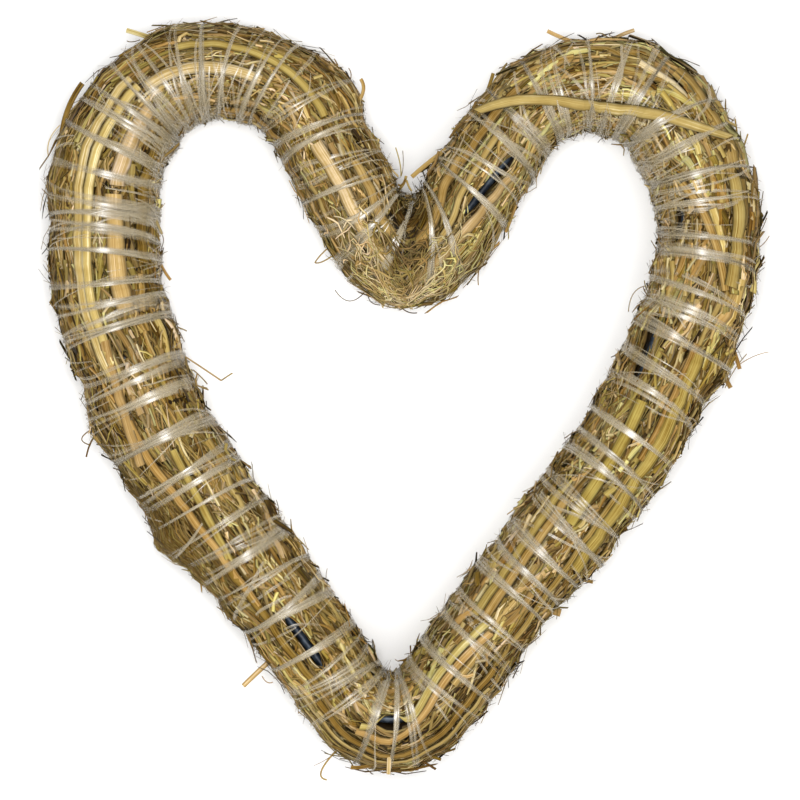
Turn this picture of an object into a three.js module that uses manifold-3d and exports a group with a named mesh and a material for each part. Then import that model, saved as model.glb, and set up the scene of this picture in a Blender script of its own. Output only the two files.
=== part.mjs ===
// A straw heart ornament lying on its back: a thick bundle of cereal straw, bent into a heart round a loop of
// steel wire and bound all the way with one clear plastic winding. The wire shows where the straw parts.
// Millimetres, +Z up, the point of the heart towards -Y and its face towards +Z. The origin is on the surface
// that the heart lies on, under the middle of its box.
import * as THREE from "three";
import { ParametricGeometry } from "three/addons/geometries/ParametricGeometry.js";
import { mergeVertices } from "three/addons/utils/BufferGeometryUtils.js";
import Module from "manifold-3d";

const wasm = await Module();
wasm.setup();

const FULL_TURN = 2 * Math.PI;
const { clamp, degToRad, lerp, smoothstep } = THREE.MathUtils;

// The heart, measured over the straw
const heartWidth = 300;
const heartHeight = 318;

// The straw bundle
const bundleDiameter = 44;
const creaseGap = 4; // left open where the bundle is folded back on itself, at the notch and at the point
const unevenness = 1; // how far loose packing lifts or drops the surface
const sway = 1.2; // how far the underside rises between the three stretches that it lies on
const settle = 0.4; // how far those stretches are pressed flat

// The winding
const windingTurns = 82;
const windingWidth = 2.6;
const windingThickness = 0.7;
const windingClearance = 0.3; // between the winding and the straw
const windingOffFloor = 0.2; // between the winding and the surface that the heart lies on
const pitchSwing = 0.17; // the turns lie this share further apart on the right limb, and closer on the left
const facetsPerTurn = 9; // an odd number, so that the bundle has a flat below and an edge along its face

// The wire
const wireDiameter = 3.5;
const wireCover = 1.8; // of straw between the wire's channel and the winding's dip
const wireClearance = 0.3;
const wireSides = 6;
const wireBendStep = 18; // degrees of bend between two of the wire's rings

// Single stalks
const stalkRoot = 1.5; // how far a stalk that lies on the bundle is sunk in it
const stalkEndWidth = 2.6;
const stalkEndThickness = 1.8;
const stalkEndRoot = 4; // how deep the root of a stalk end lies

// The bundle's middle line runs clockwise round the heart from the notch, through these corners.
// across and up place a corner, in shares of half the line's width and height.
// bend is the radius it is rounded to, in shares of half the line's width; one without it is folded tight.
// outward and inward say how far the straw reaches from the line, and bulge how much further the outside of a
// fold pushes out, all in radii of the bundle.
// wire says where the wire lies, in degrees round the bundle: 0 outward, 90 on the face, 180 inward.
const corners = [
  { across: 0, up: 0.265, outward: 1.06, inward: 0.92, bulge: 0.5, wire: 92 }, // notch
  { across: 0.44, up: 0.94, bend: 0.33, outward: 0.93, inward: 0.9, wire: 118 }, // right lobe
  { across: 0.8, up: 0.94, bend: 0.3, outward: 1.05, inward: 0.96, wire: 128 },
  { across: 1, up: 0.63, bend: 0.5, outward: 1.05, inward: 1, wire: 128 },
  { across: 1, up: 0.33, bend: 0.66, outward: 1.04, inward: 1.02, wire: 138 },
  { across: 0.76, up: -0.15, bend: 1.3, outward: 0.98, inward: 1.04, wire: 120 }, // right limb
  { across: -0.05, up: -1.145, outward: 0.9, inward: 0.99, bulge: 0.2, wire: 95 }, // point
  { across: -0.8, up: -0.14, bend: 1.3, outward: 1.13, inward: 1.02, wire: 87 }, // left limb
  { across: -1, up: 0.28, bend: 0.66, outward: 1.05, inward: 1.17, wire: 95 },
  { across: -1, up: 0.69, bend: 0.5, outward: 1.1, inward: 1.11, wire: 105 },
  { across: -0.82, up: 0.99, bend: 0.32, outward: 0.98, inward: 1.04, wire: 110 }, // left lobe
  { across: -0.39, up: 0.99, bend: 0.36, outward: 0.92, inward: 0.93, wire: 100 },
];

// In the lists below, along is the share of the way round from the notch, angles are in degrees round the
// bundle, and every length is in radii of the bundle.

// Places where the bundle is fuller or thinner: height is how far the straw stands out, and spread half of the
// place's length.
const swellings = [
  { along: 0.303, angle: 0, height: 0.12, spread: 0.5 },
  { along: 0.452, angle: 0, height: -0.12, spread: 1.1 },
  { along: 0.6, angle: 0, height: -0.07, spread: 0.9 },
  { along: 0.652, angle: -5, height: 0.32, spread: 0.6 }, // fine fibres low on the left limb
  { along: 0.714, angle: -10, height: 0.155, spread: 0.5 },
  { along: 0.952, angle: 5, height: 0.18, spread: 0.5 },
];

// Gaps in the straw where the wire shows
const wireWindows = [
  { along: 0.076, length: 1.27 },
  { along: 0.244, length: 0.68 },
  { along: 0.311, length: 1.23 },
  { along: 0.527, length: 0.45 },
  { along: 0.584, length: 1.14 },
];

// Stalks that lie along the bundle, under the winding, from one [along, angle] to another: bow is how many
// degrees the middle is bowed sideways, and proud how far the upper side stands out of the straw, at the start
// and beyond.
const lyingStalks = [
  { from: [0.098, 40], to: [0.209, 76], bow: 68, proud: [0.2, 0.065], width: 0.34, steps: 8 }, // long, golden
];

// Stalk ends that stand out of the bundle, each between two turns of the winding: reach is how far, and lean
// how much further along the bundle the tip lies than the root.
const stalkEnds = [
  { along: 0.03, angle: 40, reach: 0.41, lean: -0.36 },
  { along: 0.164, angle: 6, reach: 0.18, lean: 0.45 },
  { along: 0.318, angle: 5, reach: 0.32, lean: 0.27 },
  { along: 0.336, angle: -12, reach: 0.36, lean: 0.23 },
  { along: 0.586, angle: 3, reach: 0.59, lean: -0.36 },
  { along: 0.853, angle: 12, reach: 0.23, lean: -0.41 },
];

const bundleRadius = bundleDiameter / 2;
const lineHalfWidth = (heartWidth - bundleDiameter) / 2;
const lineHalfHeight = (heartHeight - bundleDiameter) / 2;
// The bundle is drawn in under the winding, deep enough that the winding stays clear of the surface below
const bite = windingClearance + windingThickness + settle + windingOffFloor;
const wireDepth = bite + wireCover + wireClearance + wireDiameter / 2; // from the surface to the wire's middle

/** The corner's radius: as given, or as tight as the straw on the inside of the fold allows. */
function bendRadius(corner, turnsLeft) {
  if (corner.bend) return corner.bend * lineHalfWidth;
  const folded = turnsLeft ? corner.outward : corner.inward;
  return folded * bundleRadius + creaseGap;
}

/** The middle line as a closed path of straight runs and arcs, with where each arc starts and ends on it. */
function middleLine() {
  const points = corners.map((c) => new THREE.Vector2(c.across * lineHalfWidth, c.up * lineHalfHeight));
  const path = new THREE.Path();
  const arcs = [];
  let length = 0;
  let last = null;
  points.forEach((point, i) => {
    const before = points.at(i - 1);
    const after = points[(i + 1) % points.length];
    const inDirection = point.clone().sub(before).normalize();
    const outDirection = after.clone().sub(point).normalize();
    const turn = Math.acos(clamp(inDirection.dot(outDirection), -1, 1));
    const turnsLeft = inDirection.cross(outDirection) > 0;
    const radius = bendRadius(corners[i], turnsLeft);
    const start = point.clone().addScaledVector(inDirection, -radius * Math.tan(turn / 2));
    const side = turnsLeft ? 1 : -1;
    const toLeft = new THREE.Vector2(-inDirection.y, inDirection.x);
    const centre = start.clone().addScaledVector(toLeft, side * radius);
    const startAngle = start.clone().sub(centre).angle();
    if (last) {
      length += start.distanceTo(last);
      path.lineTo(start.x, start.y);
    } else path.moveTo(start.x, start.y);
    path.absarc(centre.x, centre.y, radius, startAngle, startAngle + side * turn, !turnsLeft);
    arcs.push({ start: length, end: length + radius * turn, turn, turnsLeft });
    length += radius * turn;
    last = path.currentPoint.clone();
  });
  const first = path.getPoint(0);
  length += first.distanceTo(last);
  path.lineTo(first.x, first.y);
  arcs.forEach((arc) => {
    arc.start /= length;
    arc.end /= length;
  });
  return { path, length, arcs };
}

const line = middleLine();

/** Brings a share of the way round into 0 to 1. */
const wrap = (share) => share - Math.floor(share);

/** The middle line's point at a share of the way round, its direction and the direction out of the heart. */
function lineFrame(along) {
  const point = line.path.getPoint(wrap(along));
  const forward = line.path.getTangent(wrap(along));
  return { point, forward, out: new THREE.Vector2(-forward.y, forward.x) };
}

/** A corner's value at any share of the way round, eased from one arc's middle to the next one's. */
function cornerValue(along, valueOf) {
  const share = wrap(along);
  const middles = line.arcs.map(({ start, end }) => (start + end) / 2);
  const next = middles.findIndex((middle) => middle > share);
  const b = next < 0 ? 0 : next;
  const a = (b + corners.length - 1) % corners.length;
  const gap = wrap(middles[b] - middles[a]);
  const eased = smoothstep(wrap(share - middles[a]) / gap, 0, 1);
  return lerp(valueOf(corners[a]), valueOf(corners[b]), eased);
}

/** How far the outside of a tight fold pushes out, most in the middle of the fold. */
function foldBulge(along, angle) {
  return line.arcs.reduce((sum, { start, end, turnsLeft }, i) => {
    const halfLength = (end - start) / 2;
    const away = Math.abs(wrap(along - start - halfLength + 0.5) - 0.5) / halfLength;
    const inFold = (1 + Math.cos(Math.PI * Math.min(1, away))) / 2;
    const onOutside = turnsLeft === Math.cos(angle) < 0;
    const bulge = (corners[i].bulge ?? 0) * bundleRadius * Math.cos(angle) ** 2;
    return sum + (onOutside ? bulge * inFold : 0);
  }, 0);
}

/** How far loose packing and fibres lift the surface, less at the folds and not at all underneath. */
function swell(along, angle) {
  const loose = cornerValue(along, (corner) => (corner.bend ? 1 : 0.1));
  const above = smoothstep(Math.sin(angle), -0.8, -0.1);
  const wave = along * FULL_TURN;
  const packing =
    Math.sin(3 * angle + 17 * wave) + Math.sin(2 * angle - 29 * wave) + Math.sin(angle + 43 * wave);
  const tufts = swellings.reduce((sum, tuft) => {
    const away = ((wrap(along - tuft.along + 0.5) - 0.5) * line.length) / (tuft.spread * bundleRadius);
    const facing = Math.max(0, Math.cos(angle - degToRad(tuft.angle)));
    return sum + tuft.height * bundleRadius * Math.exp(-away * away) * facing ** 3;
  }, 0);
  return above * ((loose * unevenness * packing) / 3 + tufts);
}

/** How far the underside is above the surface that the heart lies on: least under the lobes and the point. */
function underside(along) {
  const lowest = 0.18;
  return (sway * (1 - Math.cos(3 * FULL_TURN * (along - lowest)))) / 2 - settle;
}

/**
 * A place on the bundle: along it in shares of the way round, round it in radians from its outward side over
 * its face, and lift above its surface. The edge along the face is as far up as the flat below is down.
 */
function place(along, angle, lift, uneven = true) {
  const { point, out } = lineFrame(along);
  const outward = cornerValue(along, (corner) => corner.outward);
  const inward = cornerValue(along, (corner) => corner.inward);
  const reach = (Math.cos(angle) >= 0 ? outward : inward) * bundleRadius + foldBulge(along, angle);
  const rise = ((outward + inward) / 2) * bundleRadius;
  const drop = rise / Math.cos(Math.PI / facetsPerTurn);
  const raised = lift + (uneven ? swell(along, angle) : 0);
  const aside = (reach + raised) * Math.cos(angle);
  const z = underside(along) + rise + ((Math.sin(angle) < 0 ? drop : rise) + raised) * Math.sin(angle);
  return new THREE.Vector3(point.x + out.x * aside, point.y + out.y * aside, z);
}

/** The direction straight out of the bundle, at an angle round it. */
function upFrom(along, angle) {
  const { out } = lineFrame(along);
  return new THREE.Vector3(out.x * Math.cos(angle), out.y * Math.cos(angle), Math.sin(angle));
}

/** Where a turn of the winding is on the way round, after so many turns. */
function windingAlong(turns) {
  const share = turns / windingTurns;
  return share + (pitchSwing * (Math.sin(FULL_TURN * (share - 0.25)) + 1)) / FULL_TURN;
}

/** The angle round the bundle after so many turns, from a corner of the flat below over the face. */
function windingAngle(turns) {
  return -Math.PI / 2 - Math.PI / facetsPerTurn - FULL_TURN * turns;
}

/** A closed solid from a geometry whose edges meet. */
function solidOf(geometry) {
  const bare = geometry.clone().deleteAttribute("normal").deleteAttribute("uv");
  const merged = mergeVertices(bare, 1e-4);
  const position = merged.getAttribute("position").array;
  const corner = merged.getIndex().array;
  const kept = [];
  for (let i = 0; i < corner.length; i += 3) {
    const [a, b, c] = corner.slice(i, i + 3);
    if (a !== b && b !== c && c !== a) kept.push(a, b, c);
  }
  const triVerts = new Uint32Array(kept);
  return new wasm.Manifold(new wasm.Mesh({ numProp: 3, vertProperties: position, triVerts }));
}

/** A three.js geometry from a solid. */
function geometryOf(solid) {
  const mesh = solid.getMesh();
  const geometry = new THREE.BufferGeometry();
  geometry.setAttribute("position", new THREE.BufferAttribute(new Float32Array(mesh.vertProperties), 3));
  geometry.setIndex(new THREE.BufferAttribute(new Uint32Array(mesh.triVerts), 1));
  geometry.computeVertexNormals();
  return geometry;
}

/** The bundle without its loose stalks. Every other row of vertices is drawn in under the winding. */
function bundleSolid() {
  const rows = 2 * windingTurns;
  const surface = new ParametricGeometry(
    (u, v, target) => {
      const lap = 1 - u;
      const row = Math.round(v * rows);
      const underWinding = row % 2 === 0;
      target.copy(place(windingAlong(row / 2 + lap), windingAngle(lap), underWinding ? -bite : 0));
    },
    facetsPerTurn,
    rows,
  );
  return solidOf(surface);
}

/** A band along the winding, with a section of corners at [distance along the bundle, lift above it]. */
function windingBand(section) {
  const surface = new ParametricGeometry(
    (u, v, target) => {
      const turns = v * windingTurns;
      const [aside, lift] = section[Math.round(u * section.length) % section.length];
      target.copy(place(windingAlong(turns) + aside / line.length, windingAngle(turns), lift));
    },
    section.length,
    windingTurns * facetsPerTurn,
  );
  return solidOf(surface);
}

/** The wire's middle at a share of the way round. */
function wireMiddle(along) {
  const angle = degToRad(cornerValue(along, (corner) => corner.wire));
  return { angle, middle: place(along, angle, -wireDepth, false) };
}

/** A closed loop that follows the wire, for the wire itself and for the channel that it lies in. */
function wireLoop(radius) {
  const stations = line.arcs.flatMap(({ start, end, turn }) => {
    const steps = Math.ceil(turn / degToRad(wireBendStep));
    return Array.from({ length: steps + 1 }, (_, i) => lerp(start, end, i / steps));
  });
  stations.push(1);
  const loop = new ParametricGeometry(
    (u, v, target) => {
      const step = v * (stations.length - 1);
      const before = Math.floor(step);
      const after = Math.min(before + 1, stations.length - 1);
      const along = lerp(stations[before], stations[after], step - before);
      const { out } = lineFrame(along);
      const round = u * FULL_TURN;
      const { middle } = wireMiddle(along);
      target.set(out.x, out.y, 0).multiplyScalar(radius * Math.cos(round));
      target.z = radius * Math.sin(round);
      target.add(middle);
    },
    wireSides,
    stations.length - 1,
  );
  return solidOf(loop);
}

/** A box that opens the straw over a stretch of the wire. */
function windowCutter({ along, length }) {
  const beyond = 2 * bundleRadius;
  const { angle, middle } = wireMiddle(along);
  const { forward } = lineFrame(along);
  const ahead = new THREE.Vector3(forward.x, forward.y, 0);
  const up = upFrom(along, angle);
  const across = new THREE.Vector3().crossVectors(up, ahead);
  const box = new THREE.BoxGeometry(length * bundleRadius, wireDiameter, beyond).translate(0, 0, beyond / 2);
  box.applyMatrix4(new THREE.Matrix4().makeBasis(ahead, across, up).setPosition(middle));
  return solidOf(box);
}

/** A strip with square ends. at(share) gives its middle, its upward direction, half its width and height. */
function stripSolid(steps, at) {
  const rings = steps + 2;
  const nearby = 0.01;
  const strip = new ParametricGeometry(
    (u, v, target) => {
      const share = clamp(v * rings - 1, 0, steps) / steps;
      const { middle, up, halfWidth, halfHeight } = at(share);
      const ahead = at(Math.min(1, share + nearby)).middle.sub(at(Math.max(0, share - nearby)).middle);
      const aside = new THREE.Vector3().crossVectors(up, ahead).normalize();
      const atEnd = v === 0 || v === 1 ? 0 : 1;
      const round = FULL_TURN * (u + 1 / 8);
      target.copy(middle);
      target.addScaledVector(aside, atEnd * halfWidth * Math.sign(Math.cos(round)));
      target.addScaledVector(up, atEnd * halfHeight * Math.sign(Math.sin(round)));
    },
    4,
    rings,
  );
  return solidOf(strip);
}

/** A stalk that lies on the bundle, sunk in it a little. */
function lyingStalk({ from, to, bow, proud, width, steps }) {
  return stripSolid(steps, (share) => {
    const along = lerp(from[0], to[0], share);
    const angle = degToRad(lerp(from[1], to[1], share) + 4 * bow * share * (1 - share));
    const top = lerp(proud[0], proud[1], smoothstep(share, 0, 0.3)) * bundleRadius;
    const middle = place(along, angle, (top - stalkRoot) / 2);
    const halfWidth = (width * bundleRadius) / 2;
    return { middle, up: upFrom(along, angle), halfWidth, halfHeight: (top + stalkRoot) / 2 };
  });
}

/** A stalk end that stands out of the bundle, halfway between two turns of the winding. */
function stalkEnd({ along, angle, reach, lean }) {
  const round = degToRad(angle);
  const lap = wrap(-(round + Math.PI / 2 + Math.PI / facetsPerTurn) / FULL_TURN);
  const turns = Math.round(along * windingTurns) + lap + 0.5;
  const rootAlong = windingAlong(turns);
  return stripSolid(2, (share) => {
    const outside = Math.max(0, 2 * share - 1);
    const inside = Math.max(0, 1 - 2 * share);
    const here = rootAlong + (lean * bundleRadius * outside) / line.length;
    const middle = place(here, round, reach * bundleRadius * outside - stalkEndRoot * inside, false);
    const up = upFrom(here, round + Math.PI / 2);
    return { middle, up, halfWidth: stalkEndThickness / 2, halfHeight: stalkEndWidth / 2 };
  });
}

/** Everything under the surface that the heart lies on. */
function belowFloor() {
  const depth = bundleDiameter;
  return solidOf(new THREE.BoxGeometry(2 * heartWidth, 2 * heartHeight, depth).translate(0, 0, -depth / 2));
}

/** The largest body of a solid, without what its cuts leave loose. */
function largestBody(solid) {
  return solid.decompose().reduce((a, b) => (a.volume() > b.volume() ? a : b));
}

/** The room over the straw that the winding needs where it crosses a lying stalk. */
function windingRoom() {
  const halfWidth = windingWidth / 2 + windingClearance;
  const bottom = -bite - stalkRoot;
  const top = bundleRadius / 2;
  return windingBand([[halfWidth, top], [halfWidth, bottom], [-halfWidth, bottom], [-halfWidth, top]]);
}

/** The whole bundle, with its loose stalks, the channel that the wire lies in and the gaps over it. */
function strawSolid() {
  const lying = lyingStalks.map(lyingStalk).reduce((a, b) => a.add(b));
  const ends = stalkEnds.map(stalkEnd).reduce((a, b) => a.add(b));
  let straw = bundleSolid().add(lying.subtract(windingRoom())).add(ends);
  straw = straw.subtract(wireLoop(wireDiameter / 2 + wireClearance));
  wireWindows.forEach((gap) => {
    straw = straw.subtract(windowCutter(gap));
  });
  return largestBody(straw.subtract(belowFloor()));
}

/** The winding: one band all the way round, its inner edge in the dip that it draws in the straw. */
function windingSolid() {
  const inner = -bite + windingClearance;
  const outer = inner + windingThickness;
  return windingBand([[windingWidth / 2, outer], [0, inner], [-windingWidth / 2, outer]]);
}

/** A named piece with its colour. */
function piece(name, solid, look) {
  const mesh = new THREE.Mesh(geometryOf(solid), new THREE.MeshStandardMaterial(look));
  mesh.name = name;
  return mesh;
}

const straw = { color: 0xb9985a, roughness: 0.75, metalness: 0 };
const film = { color: 0xd9d6cc, roughness: 0.25, metalness: 0 };
const darkSteel = { color: 0x1d252b, roughness: 0.45, metalness: 0.8 };

const heart = new THREE.Group();
heart.add(piece("straw_bundle", strawSolid(), straw));
heart.add(piece("plastic_winding", windingSolid(), film));
heart.add(piece("wire_frame", wireLoop(wireDiameter / 2), darkSteel));

// The origin goes under the middle of the whole heart
const box = new THREE.Box3().setFromObject(heart);
heart.position.set(-(box.min.x + box.max.x) / 2, -(box.min.y + box.max.y) / 2, -box.min.z);

export default heart;
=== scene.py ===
"""The looks of a straw heart ornament: its stalks, chaff, film, wire, finishes and studio.

The middle line, the bundle and the winding repeat the formulas of the CAD solids. Every stalk and every
band of film is laid out on the bundle as if it were unrolled, and is then bent round it.
Metres, in the frame of the CAD model.
"""

import logging
import math
from collections.abc import Callable, Iterator
from dataclasses import dataclass, field, replace
from enum import Enum

import bmesh
import bpy
import numpy as np
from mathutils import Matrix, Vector
from numpy.typing import NDArray


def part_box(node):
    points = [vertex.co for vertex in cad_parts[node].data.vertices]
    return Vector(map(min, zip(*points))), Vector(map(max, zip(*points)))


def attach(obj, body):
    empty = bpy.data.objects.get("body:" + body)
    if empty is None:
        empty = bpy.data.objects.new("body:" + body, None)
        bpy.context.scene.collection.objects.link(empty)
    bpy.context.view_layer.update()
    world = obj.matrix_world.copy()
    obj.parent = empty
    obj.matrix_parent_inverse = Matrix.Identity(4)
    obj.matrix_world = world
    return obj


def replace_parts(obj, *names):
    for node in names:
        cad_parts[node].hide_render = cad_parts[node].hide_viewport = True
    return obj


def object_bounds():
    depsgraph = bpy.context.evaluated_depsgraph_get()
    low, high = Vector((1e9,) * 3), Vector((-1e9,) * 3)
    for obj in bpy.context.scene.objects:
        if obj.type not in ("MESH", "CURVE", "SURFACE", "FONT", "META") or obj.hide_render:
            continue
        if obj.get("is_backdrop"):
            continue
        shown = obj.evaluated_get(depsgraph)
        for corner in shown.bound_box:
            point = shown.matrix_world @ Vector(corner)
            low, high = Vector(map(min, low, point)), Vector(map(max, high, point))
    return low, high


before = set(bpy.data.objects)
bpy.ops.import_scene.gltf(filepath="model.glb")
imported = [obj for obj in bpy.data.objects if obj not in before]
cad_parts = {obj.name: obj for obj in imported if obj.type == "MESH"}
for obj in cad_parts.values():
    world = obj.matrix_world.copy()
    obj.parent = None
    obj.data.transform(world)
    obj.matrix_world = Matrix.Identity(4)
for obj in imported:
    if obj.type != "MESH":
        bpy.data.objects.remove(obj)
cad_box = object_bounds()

Floats = NDArray[np.float64]
Socket = bpy.types.NodeSocket
Material = bpy.types.Material
Mesh = bpy.types.Mesh
Piece = bpy.types.Object

log = logging.getLogger("straw heart")

MM = 0.001
FULL_TURN = 2 * math.pi
BODY = "root"


class Slot(Enum):
    """The record's material slots."""

    STRAW = "straw"
    FILM = "winding"
    WIRE = "wire"


def smoothstep(value: Floats, low: float, high: float) -> Floats:
    """An eased step from 0 at low to 1 at high."""
    share = np.clip((value - low) / (high - low), 0, 1)
    return share * share * (3 - 2 * share)


def away(along: Floats, place: float) -> Floats:
    """The signed way from a place to along, both in shares of the way round."""
    return (along - place + 0.5) % 1 - 0.5


def turned(angle: Floats) -> Floats:
    """The same angle, between minus and plus half a turn."""
    return (angle + math.pi) % FULL_TURN - math.pi


def bell(gone: Floats) -> Floats:
    """A soft hump that is 1 at 0."""
    return np.exp(-gone * gone)


@dataclass(frozen=True)
class Corner:
    """A corner of the middle line, with the bundle's reach there.

    across and up are shares of half the line's width and height, bend is the radius in shares of
    half its width (0 is folded tight), outward, inward and bulge are in radii of the bundle, and wire
    is in degrees round it.
    """

    across: float
    up: float
    outward: float
    inward: float
    wire: float
    bend: float = 0
    bulge: float = 0
    drift: float = 0  # how far straw runs on straight into the fold, in radians round the bundle
    crease: float = 0  # how deep the straw parts in the fold


@dataclass(frozen=True)
class Swelling:
    """A place where the bundle is fuller or thinner, in radii of the bundle and degrees round it."""

    along: float
    angle: float
    height: float
    spread: float


CORNERS = (
    Corner(0, 0.265, 1.06, 0.92, 92, bulge=0.5, drift=0.85, crease=8 * MM),  # notch
    Corner(0.44, 0.94, 0.93, 0.9, 118, bend=0.33),
    Corner(0.8, 0.94, 1.05, 0.96, 128, bend=0.3),
    Corner(1, 0.63, 1.05, 1, 128, bend=0.5),
    Corner(1, 0.33, 1.04, 1.02, 138, bend=0.66),
    Corner(0.76, -0.15, 0.98, 1.04, 120, bend=1.3),
    Corner(-0.05, -1.145, 0.9, 0.99, 95, bulge=0.2, drift=0.35, crease=2.5 * MM),  # point
    Corner(-0.8, -0.14, 1.13, 1.02, 87, bend=1.3),
    Corner(-1, 0.28, 1.05, 1.17, 95, bend=0.66),
    Corner(-1, 0.69, 1.1, 1.11, 105, bend=0.5),
    Corner(-0.82, 0.99, 0.98, 1.04, 110, bend=0.32),
    Corner(-0.39, 0.99, 0.92, 0.93, 100, bend=0.36),
)

SWELLINGS = (
    Swelling(0.303, 0, 0.12, 0.5),
    Swelling(0.404, 0, 0.07, 0.4),
    Swelling(0.445, 0, -0.14, 0.9),
    Swelling(0.6, 0, -0.07, 0.9),
    Swelling(0.658, -5, 0.22, 0.5),
    Swelling(0.714, -10, 0.155, 0.5),
    Swelling(0.952, 5, 0.18, 0.5),
)


@dataclass
class HeartLine:
    """The bundle's middle line, clockwise from the notch: straight runs and arcs."""

    width: float = 256 * MM
    height: float = 274 * MM
    bundle_radius: float = 22 * MM  # nominal, before the corners' own factors
    crease_gap: float = 4 * MM  # between the legs of a tight fold
    arc_steps: int = 200
    length: float = field(init=False)
    middles: Floats = field(init=False)
    half_arcs: Floats = field(init=False)
    turns_left: NDArray[np.bool_] = field(init=False)

    def __post_init__(self) -> None:
        """Works out the arcs, the runs between them, and a fine table of points."""
        points = np.array([(c.across * self.width / 2, c.up * self.height / 2) for c in CORNERS])
        ahead = np.roll(points, -1, axis=0) - points
        ahead /= np.linalg.norm(ahead, axis=1)[:, None]
        before = np.roll(ahead, 1, axis=0)
        cross = before[:, 0] * ahead[:, 1] - before[:, 1] * ahead[:, 0]
        turn = np.arccos(np.sum(before * ahead, axis=1))
        self.turns_left = cross > 0
        side = np.where(self.turns_left, 1, -1)
        folded = [c.outward if left else c.inward for c, left in zip(CORNERS, self.turns_left)]
        tight = np.array(folded) * self.bundle_radius + self.crease_gap
        bend = np.array([c.bend for c in CORNERS]) * self.width / 2
        radius = np.where(bend > 0, bend, tight)
        reach = (radius * np.tan(turn / 2))[:, None]
        starts = points - before * reach
        ends = points + ahead * reach
        to_left = np.stack([-before[:, 1], before[:, 0]], axis=1)
        centres = starts + to_left * (side * radius)[:, None]
        runs = np.linalg.norm(np.roll(starts, -1, axis=0) - ends, axis=1)
        arc_lengths = radius * turn
        arc_starts = np.concatenate([[0], np.cumsum(arc_lengths + runs)[:-1]])
        self.length = float(np.sum(arc_lengths + runs))
        self.middles = (arc_starts + arc_lengths / 2) / self.length
        self.half_arcs = arc_lengths / 2 / self.length

        first = np.arctan2(before[:, 1], before[:, 0])
        knots = np.stack([arc_starts, arc_starts + arc_lengths], axis=1).ravel() / self.length
        headings = np.unwrap(np.stack([first, first + side * turn], axis=1).ravel())
        self._knots = np.append(knots, 1)
        self._headings = np.append(headings, headings[-1])
        steps = np.linspace(0, 1, self.arc_steps)
        round_centre = (first - side * math.pi / 2)[:, None] + (side * turn)[:, None] * steps
        x = centres[:, :1] + radius[:, None] * np.cos(round_centre)
        y = centres[:, 1:] + radius[:, None] * np.sin(round_centre)
        shares = (arc_starts[:, None] + arc_lengths[:, None] * steps) / self.length
        self._shares = np.append(shares.ravel(), 1)
        self._points = np.append(np.stack([x.ravel(), y.ravel()], axis=1), [[x[0, 0], y[0, 0]]], axis=0)

    def frame(self, along: Floats) -> tuple[Floats, Floats]:
        """The line's points and the directions out of the heart.

        Args:
            along: Shares of the way round.

        Returns:
            Points and unit vectors, each with x and y in the last axis.
        """
        share = np.mod(along, 1)
        heading = np.interp(share, self._knots, self._headings)
        point = [np.interp(share, self._shares, self._points[:, axis]) for axis in (0, 1)]
        return np.stack(point, axis=-1), np.stack([-np.sin(heading), np.cos(heading)], axis=-1)

    def eased(self, values: list[float], along: Floats) -> Floats:
        """A corner's value at any share of the way round, eased from one arc's middle to the next one's.

        Args:
            values: One for each corner.
            along: Shares of the way round.

        Returns:
            The values there.
        """
        share = np.mod(along, 1)
        after = np.searchsorted(self.middles, share, side="right") % len(values)
        before = (after - 1) % len(values)
        gap = np.mod(self.middles[after] - self.middles[before], 1)
        ease = smoothstep(np.mod(share - self.middles[before], 1) / gap, 0, 1)
        table = np.array(values)
        return table[before] * (1 - ease) + table[after] * ease


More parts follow.
